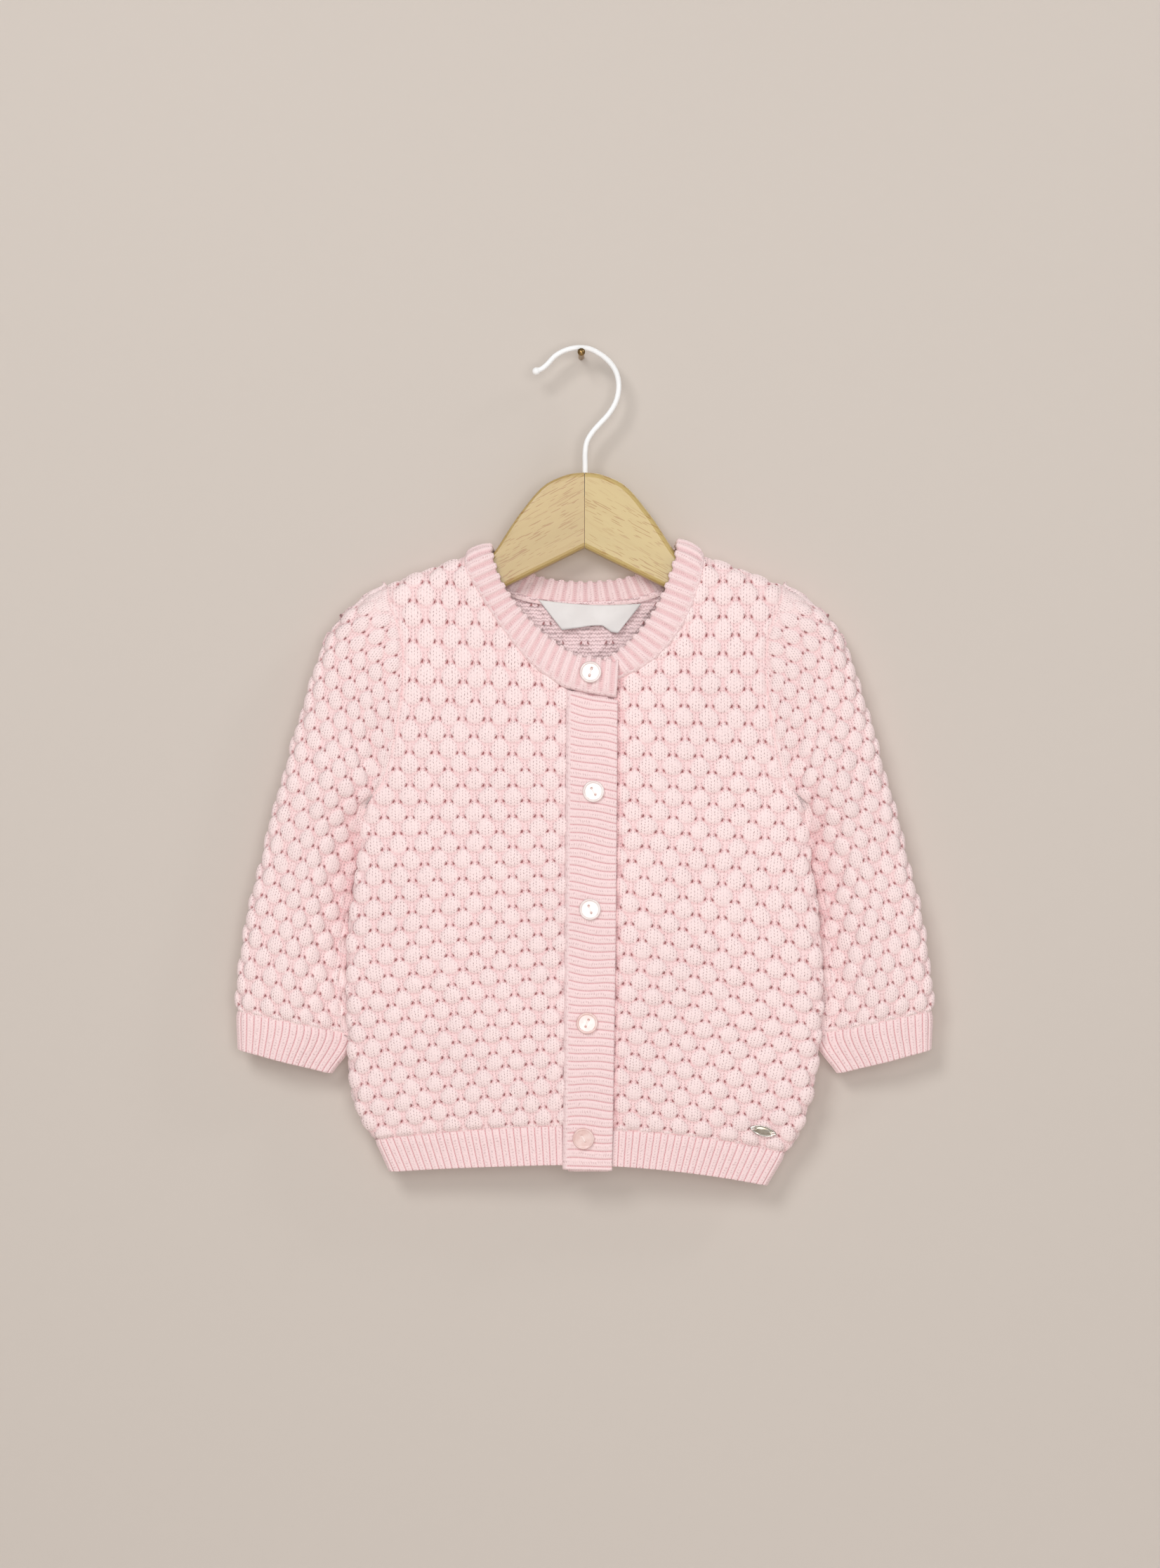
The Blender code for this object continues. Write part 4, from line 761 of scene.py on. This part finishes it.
def steel_look():
    """Polished metal with fine hairlines, a brighter rim and the thread that sews it down."""
    g = Graph("polished_metal_look")
    hair = g.noise(g.mapped(g.where, Scale=(1, 1, 9)), 900, 2)
    thread = g.per_point("eyelet")
    tone = g.clouds(300, 3, 0.35, 0.65, srgb(178, 172, 162), srgb(148, 140, 126))
    tone = g.mix(g.per_point("hollow"), tone, srgb(216, 212, 206))
    tone = g.mix(thread, tone, srgb(246, 226, 222))
    return g.finish(Base_Color=tone, Metallic=1.0 - thread,
                    Roughness=g.out("MapRange", {0: hair, 3: 0.16, 4: 0.30}))


# The cotton's colour, then painted shade for the folds and recesses, then painted shade for the
# gaps between stitches.
knit_cloth = knit_look("bubble_knit_look", srgb(248, 227, 226), srgb(228, 180, 182),
                       srgb(160, 130, 130), stitch_gap_shade=0.8)
rib_cloth = knit_look("rib_knit_look", srgb(243, 219, 219), srgb(206, 138, 144),
                      srgb(180, 140, 142), stitch_gap_shade=0.45)


# ------------------------------------------------------------------ the bubble knit

def from_middle(face):
    """Roughly outward directions at points of the front or the back."""
    return lambda points: joined(points[..., 0] * 0.02, face, 0.05)


def body_spread(sign=None):
    """Places in the knit of the body to lengths on its cloth; the back is even on both sides."""
    def of(table, at):
        if sign is None:
            return (read(table, "right", at) + read(table, "left", at)) / 2
        return read(table, "right" if sign < 0 else "left", at)

    def spread(i, j):
        level = of(ROWS, j)
        c = np.abs(i) * of(PITCH, level) - (0 if sign is None else of(SHIFT, level))
        power = 1 + 0.7 * ease((level - 270) / 100)
        v = level + of(FALL, level) * np.maximum(c / 115, 1e-6) ** power
        return (np.sign(i) if sign is None else sign) * c, v
    return spread


def body_rise(c, v):
    """Height of a bubble, a little more low down."""
    return 1.9 + 0.35 * ease((v - 200) / 120)


def side_lift(below):
    """How far the cloth stands out along a side seam, most just below the underarm."""
    return SIDE_LIFT + ARMPIT_LIFT * bell(below, 16)


def side_low(face, side, edge, c_from, c_to):
    """The hem's line and the side seam above it, from c_from out to the underarm."""
    low, a = np.linspace(c_from, c_to, 20), np.linspace(0, 1, 20)
    low_v = hem_drop(face, side, a, "seam") + 0.6 - edge * a
    up = np.linspace(low_v[-1], UNDERARM_DROP, 30)[1:-1]
    return edge_rows(low, low_v, LOW_PULL), edge_rows(
        side_c(up, side), up, lift=side_lift(up - UNDERARM_DROP), square=-1.0)


def arm_rows(c, v, share, pull):
    """An armhole's outline: drawn in by its seam, but raised towards the underarm.

    share falls to 0 at the underarm, where the raised edges of body and sleeve meet.
    """
    return edge_rows(c, v, pull * ease(share), lift=side_lift(0.0) * (1 - ease(share)), square=1.0)


def arm_edge():
    """The armhole on the body, from the shoulder to the underarm."""
    c, v = armhole()
    return arm_rows(c, v, (UNDERARM_DROP - v) / 16, ARM_PULL)


def neck_edge(table, k, tuck):
    """The cut edge at the neck, a share of the neckband's width under it."""
    return [read(table, "seam_" + way, k) * (1 - tuck) + read(table, "free_" + way, k) * tuck
            for way in ("x", "drop")]


def front_border(table, side):
    """Cut outline of a front, as c (signed), v and how its edge is drawn in."""
    k = np.linspace(0, NECK_CORNER, 34)
    c, v = neck_edge(table, k, 0.22)
    rolled = k < 2
    start = shoulder_v(c[0])
    v[rolled] = start + k[rolled] / 2 * (read(table, "seam_drop", 2.0) - start)
    c[-1] = SEAM_X[side] - 5.0
    seam, fall = HEM[(FRONT, side)][:2]
    low, up = side_low(FRONT, side, 0.0, c[-1], side_c(seam + fall, side))
    top = np.linspace(SHOULDER_TIP, c[0], 8)[1:-1]
    border = np.concatenate([edge_rows(c, v, NECK_PULL), low, up, arm_edge()[::-1],
                             edge_rows(top, shoulder_v(top), SHOULDER_PULL)])
    return border * [side, 1, 1, 1, 1]


def back_border():
    """Cut outline of the back, one half after the other."""
    halves = []
    for side in (LEFT, RIGHT):
        k = np.linspace(7, 1, 26)
        c, v = neck_edge(NECK_BACK, k, 0.2)
        rolled = k < 2
        start = shoulder_v(60)
        v[rolled] = start + (k[rolled] - 1) * (read(NECK_BACK, "seam_drop", 2.0) - start)
        c, v = np.append(c, 60.5), np.append(v, shoulder_v(60.5))
        top = np.linspace(60.5, SHOULDER_TIP, 8)[1:-1]
        seam, fall = HEM[(FRONT, side)][:2]
        back_fall = hem_drop(BACK, side, 1.0, "seam") - seam - fall
        low, up = side_low(BACK, side, back_fall, 0.0, side_c(seam + fall, side))
        halves.append(np.concatenate([
            edge_rows(c, v, 0.6 * NECK_PULL), edge_rows(top, shoulder_v(top), SHOULDER_PULL),
            arm_edge(), up[::-1], low[:0:-1]]) * [side, 1, 1, 1, 1])
    return np.concatenate([halves[0], halves[1][::-1]])


def beside_band(c, v):
    """The shade on the left front along the edge of the button band."""
    return 0.75 * bell(np.maximum(c - read(BAND, "free", v), 0), 2.2)


def make_front(name, side, table, seed):
    return knit(name, (0, 11, -5, 38) if side > 0 else (-11, 0, -5, 38), body_spread(side),
                lambda c, v: body(FRONT, c, v), from_middle(FRONT), front_border(table, side),
                body_rise, tint=beside_band if side == LEFT else lambda c, v: 0.0, seed=seed)


def sleeve_seam(side):
    """For each face, the armhole on the sleeve: ring (rising), run, and the step to the body."""
    found = {}
    arm_c, arm_v = armhole(60)
    for face in (FRONT, BACK):
        seam = body(face, side * arm_c, arm_v)
        run, ring = on_sleeve(np.abs(seam[:, 0]), seam[:, 1], -seam[:, 2])
        run[0], ring[0], run[-1], ring[-1] = 0.0, 0.0, UNDERARM_RUN, 1.0
        ring = np.maximum.accumulate(ring) + 1e-6 * np.arange(len(ring))
        ring[-1] = 1.0
        found[face] = ring, run, seam - sleeve(side, run, ring, face)
    return found


def sleeve_place(side):
    """The sleeve's surface by the length round it from its outer edge and the run."""
    seam = sleeve_seam(side)

    def place(s, run):
        s, run = np.broadcast_arrays(np.asarray(s, float), np.asarray(run, float))
        face = np.where(s >= 0, FRONT, BACK)
        around = tube_length(run)
        points = sleeve(side, run, np.abs(s) / around, face)
        for way in (FRONT, BACK):
            ring, start, step = seam[way]
            at = np.abs(s[..., None]) - ring * tube_length(start)
            gap = at ** 2 + (run[..., None] - start) ** 2 + 0.01
            weight = gap ** -2.5
            moved = weight @ step / weight.sum(axis=-1, keepdims=True)
            left = np.where(face == way, 1 - ease(np.sqrt(gap.min(axis=-1)) / SEAM_EASE), 0)
            points += left[..., None] * moved
        close = bell(around - np.abs(s), 6) * ease((run - UNDERARM_RUN + 6) / 14)
        points[..., 0] -= side * SLEEVE_CLOSE * close * (1 - ease((run - CUFF_RUN[0] + 14) / 12))
        return points
    return place


def make_sleeve(side, tag, seed):
    seam = sleeve_seam(side)
    front_ring, front_run, _ = seam[FRONT]
    back_ring, back_run, _ = seam[BACK]
    down = np.linspace(UNDERARM_RUN, CUFF_RUN[0] + 0.6, 40)
    around = tube_length(down)
    lift = side_lift(down - UNDERARM_RUN)

    def tucked_edge(ring, run):
        """The armhole on the sleeve, moved square to itself under the body's edge."""
        s = ring * tube_length(run)
        way = joined(np.gradient(run), -np.gradient(s))
        reach = ARM_TUCK * (1 + 3 * bell(1 - ring, 0.14))
        way *= (reach * ease((1 - ring) / 0.02) / np.linalg.norm(way, axis=-1))[:, None]
        run = run + way[:, 1]
        return np.minimum(s + way[:, 0], tube_length(run) - 0.2 * ease((1 - ring) / 0.02)), run

    front_s, front_start = tucked_edge(front_ring, front_run)
    back_s, back_start = tucked_edge(back_ring, back_run)
    border = np.concatenate([
        arm_rows(front_s, front_start, (1 - front_ring) / 0.16, 1.0),
        edge_rows(around[1:-1], down[1:-1], lift=lift[1:-1], square=-1.0),
        edge_rows(around[-1:], down[-1:], LOW_PULL), edge_rows(-around[-1:], down[-1:], LOW_PULL),
        edge_rows(-around[-2:0:-1], down[-2:0:-1], lift=lift[-2:0:-1], square=-1.0),
        arm_rows(-back_s, back_start, (1 - back_ring) / 0.16, 1.0)[:0:-1]])

    def outward(points):
        return joined((side * points[..., 0] - 140) * 0.02 * side, np.sign(points[..., 1]), 0)

    def plain(s, run):
        """Flat where the cap is gathered and along the armhole below it."""
        ring = np.abs(s) / tube_length(run)
        start = np.where(s >= 0, np.interp(ring, front_ring, front_run),
                         np.interp(ring, back_ring, back_run))
        low = ease((start - 55) / 30)
        cap = (1 - ease((run - 10) / 18)) * (1 - ease((np.abs(s) - 14) / 22))
        return (1 - low * (1 - ease((run - start - 12) / 10))) * (1 - 0.75 * cap)

    def tucked(s, run):
        """The shade of the fold beside the body."""
        near = bell(tube_length(run) - s, 13)
        return 0.75 * near * ease((run - 85) / 30) * (1 - ease((run - 160) / 70))

    return knit(f"sleeve_{tag}_knit", (-8, 8, -1, 30),
                lambda i, j: (i * SLEEVE_PITCH, j * SLEEVE_ROW), sleeve_place(side), outward,
                border, lambda s, run: SLEEVE_RISE, plain, tucked, sideways=-1, seed=seed)


# ------------------------------------------------------------------ ribs and bands

def low_rib(name, points, normal, phase, down, length, ring=False):
    """A rib of the hem or of a cuff; down is the distance from its seam."""
    height, shade = rib_relief(phase, *LOW_RIB)
    relief = height - RIB_INSET - rounded(length - down) - 0.7 * bell(down, 2.2)
    uv = joined(phase + 0.5, -down / HEM_COURSE)
    return band_wall(name, rib_cloth, points, normal, RIB, relief, uv, shade, ring)


def hem_rib(name, face, sides):
    """The rib at the lower edge, on one front or from side to side on the back."""
    rows = down_stations(HEM_LENGTH)
    share = rows[:, None]
    grids = []
    for side in sides:
        inner = SEAM_X[side] - 4.0 if face == FRONT else 0.0
        top_edge = HEM[(FRONT, side)][0] + HEM[(FRONT, side)][1]
        outer = side_c(top_edge, side)
        ribs = round((outer - inner) / RIB_PITCH)
        phase = np.arange(ribs * 8 + 1) / 8
        a = phase / ribs
        top = hem_drop(face, side, a, "seam") + (top_edge - hem_drop(face, side, 1.0, "seam")) * a
        low = hem_drop(face, side, a, "low")
        if face == BACK:
            low = low + (hem_drop(FRONT, side, 1.0, "low") - low[-1]) * a
        c_low = inner + (side_c(low[-1], side) - inner) * a
        c = (inner + (outer - inner) * a) * (1 - share) + c_low * share
        grids.append((side * c, top * (1 - share) + low * share, phase + 0 * share))
    if len(grids) == 2:
        c, v, phase = (np.concatenate([g0[:, :0:-1], g1], axis=1) for g0, g1 in zip(*grids))
    else:
        c, v, phase = grids[0]
    points = body(face, c, v)
    normal = unit_normals(lambda p, q: body(face, p, q), c, v, from_middle(face)(points))
    return low_rib(name, points, normal, phase, share * HEM_LENGTH + 0 * c, HEM_LENGTH)


def make_cuff(side, tag):
    phase = np.arange(CUFF_RIBS * 8) / 8
    s = phase / CUFF_RIBS * 2
    length = CUFF_RUN[1] - CUFF_RUN[0]
    rows = down_stations(length)[:, None]
    run = CUFF_RUN[0] - 0.4 + (length + 0.4) * rows + 0 * s
    ring, face = np.where(s < 1, s, 2 - s) + 0 * run, np.where(s < 1, FRONT, BACK) + 0 * run
    points = sleeve(side, run, ring, face)
    wrapped = np.concatenate([points[:, -1:], points, points[:, :1]], axis=1)
    normal = unit(np.cross(np.gradient(wrapped, axis=1)[:, 1:-1], np.gradient(points, axis=0)))
    normal *= np.where(np.sum(normal * (points - points.mean(axis=1, keepdims=True))) < 0, -1, 1)
    return low_rib(f"cuff_{tag}_knit", points, normal, phase + 0 * run, rows * length + 0 * run,
                   length, ring=True)


def chained(height, gap, along, start, crown, width, tuck):
    """The relief of ribs that give way to a chained line along their seam, gap away from it.

    The line starts at a distance from the seam, with its height and width, and what is
    left beside the seam is tucked in.
    """
    zone = 1 - ease((gap - start) / 0.6)
    chain = crown * np.sin(math.pi * np.clip(gap / width, 0, 1)) * (
        0.7 + 0.3 * np.cos(2 * math.pi * along / CHAIN_PITCH))
    return height * (1 - zone) + (chain - tuck * (1 - ease(gap / 1.6))) * zone, zone


def make_neckband():
    """One ribbed band round the neck, with a chained line along its seam."""
    def stations(table, side, sign, k):
        tilt = side * NECK_TILT * (1 - ease(k / 4))
        reach = sign * read(table, "reach", k)
        return np.stack([joined(side * read(table, edge + "_x", k), reach,
                                up - read(table, edge + "_drop", k))
                         for edge, up in (("seam", 0), ("free", tilt))], axis=1)

    front_k = np.linspace(10, 0, 160, endpoint=False)
    back_k = np.linspace(0, 7, 110, endpoint=False)
    loop = np.concatenate([
        stations(NECK_RIGHT, RIGHT, FRONT, front_k), stations(NECK_BACK, RIGHT, BACK, back_k),
        stations(NECK_BACK, LEFT, BACK, 7 - back_k),
        stations(NECK_LEFT, LEFT, FRONT, np.append(0.0, front_k[::-1]))])
    run = np.linalg.norm(np.diff(loop.mean(axis=1), axis=0), axis=1)
    run = np.concatenate([[0], np.cumsum(run)])
    ribs = round(run[-1] / NECK_PITCH)
    phase = np.arange(ribs * 12 + 1) / 12
    at = phase / ribs * run[-1]
    seam, free = (joined(*(np.interp(at, run, loop[:, e, x]) for x in range(3))) for e in (0, 1))
    width = np.linalg.norm(free - seam, axis=-1)
    rows = down_stations(15.0)
    share = rows[:, None, None]
    scallop = 1 - 0.06 * rib_relief(phase, 1.0, 0.5)[1][None, :, None] * share ** 2
    flat = seam[None] * (1 - share * scallop) + free[None] * share * scallop
    normal = unit(np.cross(np.gradient(flat, axis=0), np.gradient(flat, axis=1)))
    normal *= np.where(normal[0, np.argmin(np.abs(seam[:, 1])), 2] < 0, -1, 1)
    points = flat + normal * (4 * share * (1 - share) * NECK_CROWN)
    down = rows[:, None] * width
    height, shade = rib_relief(phase + 0 * down, 1.0, 0.44)
    relief, zone = chained(height, down, at, 1.9, 0.8, 2.1, 1.5)
    relief = relief - rounded(width - down) * (0.6 + 0.8 * shade) - 0.35
    relief = relief - rounded(np.minimum(at, at[-1] - at), 1.2)
    # Painted shade in the ribs' recesses and in the groove beside the chained line.
    shade = 0.42 * shade * (1 - zone) + 0.45 * bell(down - 2.3, 0.4)
    uv = joined(phase * 2 + 0.5, down / BAND_COURSE)
    made = band_wall("neckband_knit", rib_cloth, points, normal, RIB, relief, uv, shade)
    return made, width, run[-1]


def make_band(name, left, right, top, low, lift):
    """A straight band down the centre front with its ribs lying across it."""
    length = float(np.mean(low) - np.mean(top))
    ribs = round(length / BAND_PITCH)
    phase = np.arange(ribs * 8 + 1)[:, None] / 8
    across = down_stations(26.0)
    share = phase / ribs
    top_line, low_line = (np.interp(across, [0, 0.5, 1], line) for line in (top, low))
    drop = top_line * (1 - share) + low_line * share
    width = right(drop) - left(drop)
    gap = across * width
    x = left(drop) + width * across
    sag = (1.0 * np.sin(drop / 23.0 + x / 9.0) + 0.35 * np.sin(drop / 7.3 + x / 12.0 + 1.0)) * (
        4 * across * (1 - across)) * ease(np.minimum(share, 1 - share) * length / 8)
    points = joined(x, -(read(BODY, "front", drop) + lift), -drop - sag)
    normal = np.broadcast_to([0.0, -1.0, 0.0], points.shape)
    height, shade = rib_relief(phase + 0 * x, 0.75, 0.2)
    relief, zone = chained(height, gap, drop, 2.2, 0.7, 2.4, 1.6)
    along = share * length + 0 * x
    relief = relief - rounded(width - gap) - 0.2 - rounded(np.minimum(along, length - along))
    uv = joined(phase + 0.5, gap / BAND_COURSE)
    return band_wall(name, rib_cloth, points, normal, RIB, relief, uv, 0.8 * shade * (1 - zone))


# ------------------------------------------------------------------ trims

def make_button(name, k, holes, look):
    """A thin shell disc: rolled rim, dished face, two slots and the thread between them.

    holes is the angle of the line of slots, and their length and width.
    """
    rings = np.concatenate([np.linspace(0.12, 4.2, 24), np.linspace(4.35, 5.0, 6),
                            [5.15, 5.3, 5.42, 5.52, 5.6, 5.65, 5.68]])
    steps = 80
    radius, angle = np.meshgrid(rings, np.arange(steps) * 2 * math.pi / steps, indexing="ij")
    x, z = radius * np.cos(angle), radius * np.sin(angle)
    turn, long, wide = holes
    along = x * math.sin(turn) + z * math.cos(turn)
    aside = x * math.cos(turn) - z * math.sin(turn)
    edge = np.clip((radius - 5.0) / 0.68, 0, 1)
    height = 1.75 + 0.1 * (radius / 4.4) ** 2 + 0.3 * ease((radius - 4.3) / 0.6)
    height = height - 1.3 * (1 - np.sqrt(1 - edge ** 2))
    reach = np.hypot(np.maximum(np.abs(np.abs(along) - 1.8) - (long - wide) / 2, 0), aside)
    hole = 1 - ease((reach - wide / 2 + 0.15) / 0.3)
    thread = (1 - ease((np.abs(aside) - 0.16) / 0.14)) * (np.abs(along) < 1.9)
    height = height - 0.7 * hole * (1 - thread) + 0.15 * thread
    around = angle[0]
    points = [joined(x, -height, z).reshape(-1, 3)]
    points += [joined(r * np.cos(around), -h, r * np.sin(around)) for r, h in BUTTON_BACK]
    under = np.zeros(len(BUTTON_BACK) * steps)
    faces = ring_faces(len(rings) + len(BUTTON_BACK), steps)
    # Per point: the thread's pale colour, and painted shade in the slots beside it.
    made = new_mesh(name, np.concatenate(points), faces, look, None,
                    np.concatenate([thread.ravel(), under]),
                    np.concatenate([(hole * (1 - thread)).ravel(), under]), centred=False)
    x, drop = BUTTONS["x"][k - 1], BUTTONS["drop"][k - 1]
    slope = float(read(BODY, "front", drop - 5) - read(BODY, "front", drop + 5)) / 10
    seat = -float(read(BODY, "front", drop)) - BAND_LIFT - 0.4 if k > 1 else NECK_BUTTON_SEAT
    made.rotation_euler = (math.atan(slope), 0, 0)
    made.location = ((x + CENTRE_X) * MM, seat * MM, -drop * MM)
    return made


def make_label():
    """The bare tape behind the neck: mitred ends, a slack lower edge, soft folds."""
    t, down = np.linspace(0, 1, 49), np.linspace(0, 1, 15)[:, None]
    top_x = np.interp(t, (0, 1), LABEL_TOP["x"])
    top = np.interp(t, (0, 1), LABEL_TOP["drop"]) + 1.6 * np.sin(math.pi * t)
    low_x, low = read(LABEL_LOW, "x", t), read(LABEL_LOW, "drop", t)
    x, drop = top_x + (low_x - top_x) * down, top + (low - top) * down
    fold = 1.1 * down ** 1.5 * (0.5 + 0.5 * np.sin(7.5 * t - 0.6))
    fold = 0.5 * np.sin(9 * t + 2.4 * down) + fold
    y = body(BACK, x, drop)[..., 1] - LABEL_SEAT - np.maximum(fold, -0.4)
    points = joined(x, y, -drop)
    normal = np.broadcast_to([0.0, 1.0, 0.0], points.shape)
    flat = 0 * x
    return band_wall("neck_label_tape", tape_look(), points, normal, TAPE, flat,
                     joined(t, down), flat)


def make_plate():
    """The bare metal plate: a pointed oval with a bevelled rim, sewn down at its ends."""
    def at(right, down):
        return body(FRONT, PLATE_C + right, PLATE_DROP + down)

    along, up = at(1, 0) - at(-1, 0), at(0, -1) - at(0, 1)
    along /= np.linalg.norm(along)
    out = np.cross(along, up)
    out /= np.linalg.norm(out) * np.sign(-out[1])
    up = np.cross(out, along)
    up *= np.sign(up[2])
    cos, sin = math.cos(PLATE_TILT), math.sin(PLATE_TILT)
    long_way, short_way = along * cos + up * sin, up * cos - along * sin
    sizes = np.array([0.9, 1.0, 0.97, 0.9, 0.84, 0.78, 0.74, 0.6, 0.4, 0.2, 0.03])
    heights = np.array([0.2, 0.7, 1.25, 1.5, 1.35, 1.05, 1.0, 1.1, 1.2, 1.25, 1.27])
    rims = np.array([1, 1, 1, 1, 1, 0.4, 0, 0, 0, 0, 0.0])
    steps = 72
    angle = np.arange(steps) * 2 * math.pi / steps
    p = sizes[:, None] * PLATE_HALF[0] * np.cos(angle)
    q = sizes[:, None] * PLATE_HALF[1] * np.sin(angle) * np.abs(np.sin(angle)) ** 0.35
    sewn = np.zeros(p.shape)
    for end in (-1, 1):
        for shift in (-0.5, 0.35):
            reach = np.hypot((p - end * 5.3) / 0.75, (q - shift - 0.3 * (p - end * 5.3)) / 0.28)
            sewn = np.maximum(sewn, 1 - ease((reach - 0.7) / 0.5))
    height = PLATE_SEAT + heights[:, None] + 0.45 * sewn
    points = at(0, 0) + out * height[..., None] + long_way * p[..., None] + short_way * q[..., None]
    return new_mesh("metal_plate_bevelled", points.reshape(-1, 3), ring_faces(len(sizes), steps),
                    steel_look(), None, (rims[:, None] + 0 * p).ravel(), sewn.ravel())


# ------------------------------------------------------------------ put together

def dress(piece, area=None):
    """The piece stands for the CAD node that its name begins with; area, a cloth's cut size, is not
    used.
    """
    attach(piece, "root")
    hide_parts(piece.name.rpartition("_")[0])


def outline_area(border):
    """Area inside a closed outline, in square metres."""
    x, y = border[:, 0], border[:, 1]
    return float(abs(np.sum(x * np.roll(y, -1) - y * np.roll(x, -1))) / 2 * MM * MM)


for side, tag, table, seed in ((RIGHT, "right", NECK_RIGHT, 11), (LEFT, "left", NECK_LEFT, 12)):
    front = f"front_{tag}_knit"
    dress(make_front(front, side, table, seed),
          outline_area(front_border(table, side)))
    dress(make_sleeve(side, tag, seed + 10), 0.0285)
    dress(make_cuff(side, tag))
    dress(hem_rib("hem_rib_" + front, FRONT, (side,)))

dress(knit("back_knit", (-11, 11, -5, 38), body_spread(), lambda c, v: body(BACK, c, v),
           from_middle(BACK), back_border(), body_rise, seed=5),
      outline_area(back_border()))
dress(hem_rib("hem_rib_back_knit", BACK, (RIGHT, LEFT)))
made, width, length = make_neckband()
dress(made)
dress(make_band("button_band_knit", lambda d: -read(BAND, "seam", d),
                lambda d: read(BAND, "free", d), (179.1, 182.4, 184.5), (430.4, 430.7, 431.0),
                BAND_LIFT))
dress(make_band("button_band_under_knit", lambda d: UNDER_BAND["x"][0] + 0 * d,
                lambda d: UNDER_BAND["x"][1] + 0 * d, (UNDER_BAND["top"],) * 3,
                (UNDER_BAND["bottom"],) * 3, 0.0))

for node, look in (("hook", paint_look()),
                   ("hanger_arm_right", wood_look("beech_right_look", RIGHT, (180, 153, 97))),
                   ("hanger_arm_left", wood_look("beech_left_look", LEFT, (184, 159, 99)))):
    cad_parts[node].material_slots[0].material = look

white_pearl = pearl_look("pearl_white_look", srgb(228, 212, 208), srgb(240, 231, 228))
pink_pearl = pearl_look("pearl_pink_look", srgb(224, 188, 182), srgb(236, 210, 205))
HOLES = [(17, 1.7, 0.95), (-31, 1.2, 0.9), (-20, 1.2, 0.9), (24, 1.2, 0.85), (-29, 0.9, 0.7)]
for k, (turn, long, wide) in enumerate(HOLES, 1):
    dress(make_button(f"button_{k}_pearl", k, (math.radians(turn), long, wide),
                      white_pearl if k < 4 else pink_pearl))
dress(make_label(), 0.00069)
dress(make_plate())


# ------------------------------------------------------------------ the room

def room_look(name, colour):
    """Matt paint, very slightly uneven."""
    g = Graph(name)
    tone = g.clouds(1.2, 2, 0.2, 0.8, srgb(*colour), srgb(*(c - 3 for c in colour)))
    g.finish(Base_Color=tone, Roughness=0.95, Normal=g.bump(0.06, 0.3, g.noise(g.where, 260)),
             Specular_IOR_Level=0.1)
    return g


def plane(name, corners, look):
    mesh = bpy.data.meshes.new(name)
    mesh.from_pydata(corners, [], [(0, 1, 2, 3)])
    mesh.materials.append(look)
    made = link(name, mesh)
    return made


def make_nail():
    """The brass nail that the hook hangs from; it is part of the room."""
    steps, profile = 20, [(0, 19.5), (1.5, 19.5), (1.5, -5.6), (2, -5.8), (2, -6.6), (0, -6.8)]
    turns = [2 * math.pi * j / steps for j in range(steps)]
    points = [(r * math.cos(a), y, -1.55 + r * math.sin(a)) for r, y in profile for a in turns]
    look = Graph("brass_look").finish(Base_Color=srgb(158, 128, 84), Metallic=1.0, Roughness=0.35)
    new_mesh("nail", points, ring_faces(len(profile), steps)[:-2], look, centred=False)


# The wall is seen through from behind, so that the back of the garment can be looked at.
room = room_look("wall_look", (201, 192, 184))
either = room.node("MixShader", {0: room.out("NewGeometry", output="Backfacing"), 1: room.shader,
                                 2: room.node("BsdfTransparent")})
room.put(room.tree.nodes["Material Output"], "Surface", either)
wall = plane("wall", [(-3, WALL_Y, -1.2), (3, WALL_Y, -1.2), (3, WALL_Y, 2), (-3, WALL_Y, 2)],
             room.material)
wall.visible_shadow = False
plane("floor", [(-4, -4, -1.2), (4, -4, -1.2), (4, 4, -1.2), (-4, 4, -1.2)],
      room_look("floor_look", (216, 210, 204)).material)
make_nail()

# Each light's place, the height that it is aimed at, its size and its power.
for name, place, aim, size, power in (("key", (-0.7, -2.0, 0.8), -0.22, 0.8, 19),
                                      ("front", (0.2, -2.5, -0.15), -0.2, 1.3, 27),
                                      ("edge", (1.3, -0.7, 0.9), -0.15, 0.35, 3),
                                      ("rim", (0.5, 1.6, 0.9), -0.22, 1.2, 22)):
    light = bpy.data.lights.new(name, "AREA")
    light.shape, light.size, light.energy = "DISK", size, power
    made = link(name, light)
    made.location = place
    made.rotation_euler = (Vector((0, 0, aim)) - Vector(place)).to_track_quat("-Z", "Y").to_euler()
world = bpy.context.scene.world or bpy.data.worlds.new("world")
bpy.context.scene.world = world
world.use_nodes = True
sky = world.node_tree.nodes["Background"].inputs
sky["Color"].default_value, sky["Strength"].default_value = (1.0, 0.985, 0.97, 1), 0.32

# The camera stands two metres off, level and square to the front.
camera = link("camera", bpy.data.cameras.new("camera"))
camera.location = (-0.0007, -2.0, -0.2285)
camera.rotation_euler = (math.pi / 2, 0, 0)
camera.data.sensor_fit = "VERTICAL"
camera.data.sensor_height = 36
camera.data.lens = 87.15
camera.data.clip_start = 0.05
bpy.context.scene.camera = camera
bpy.context.scene.view_settings.view_transform = "Standard"
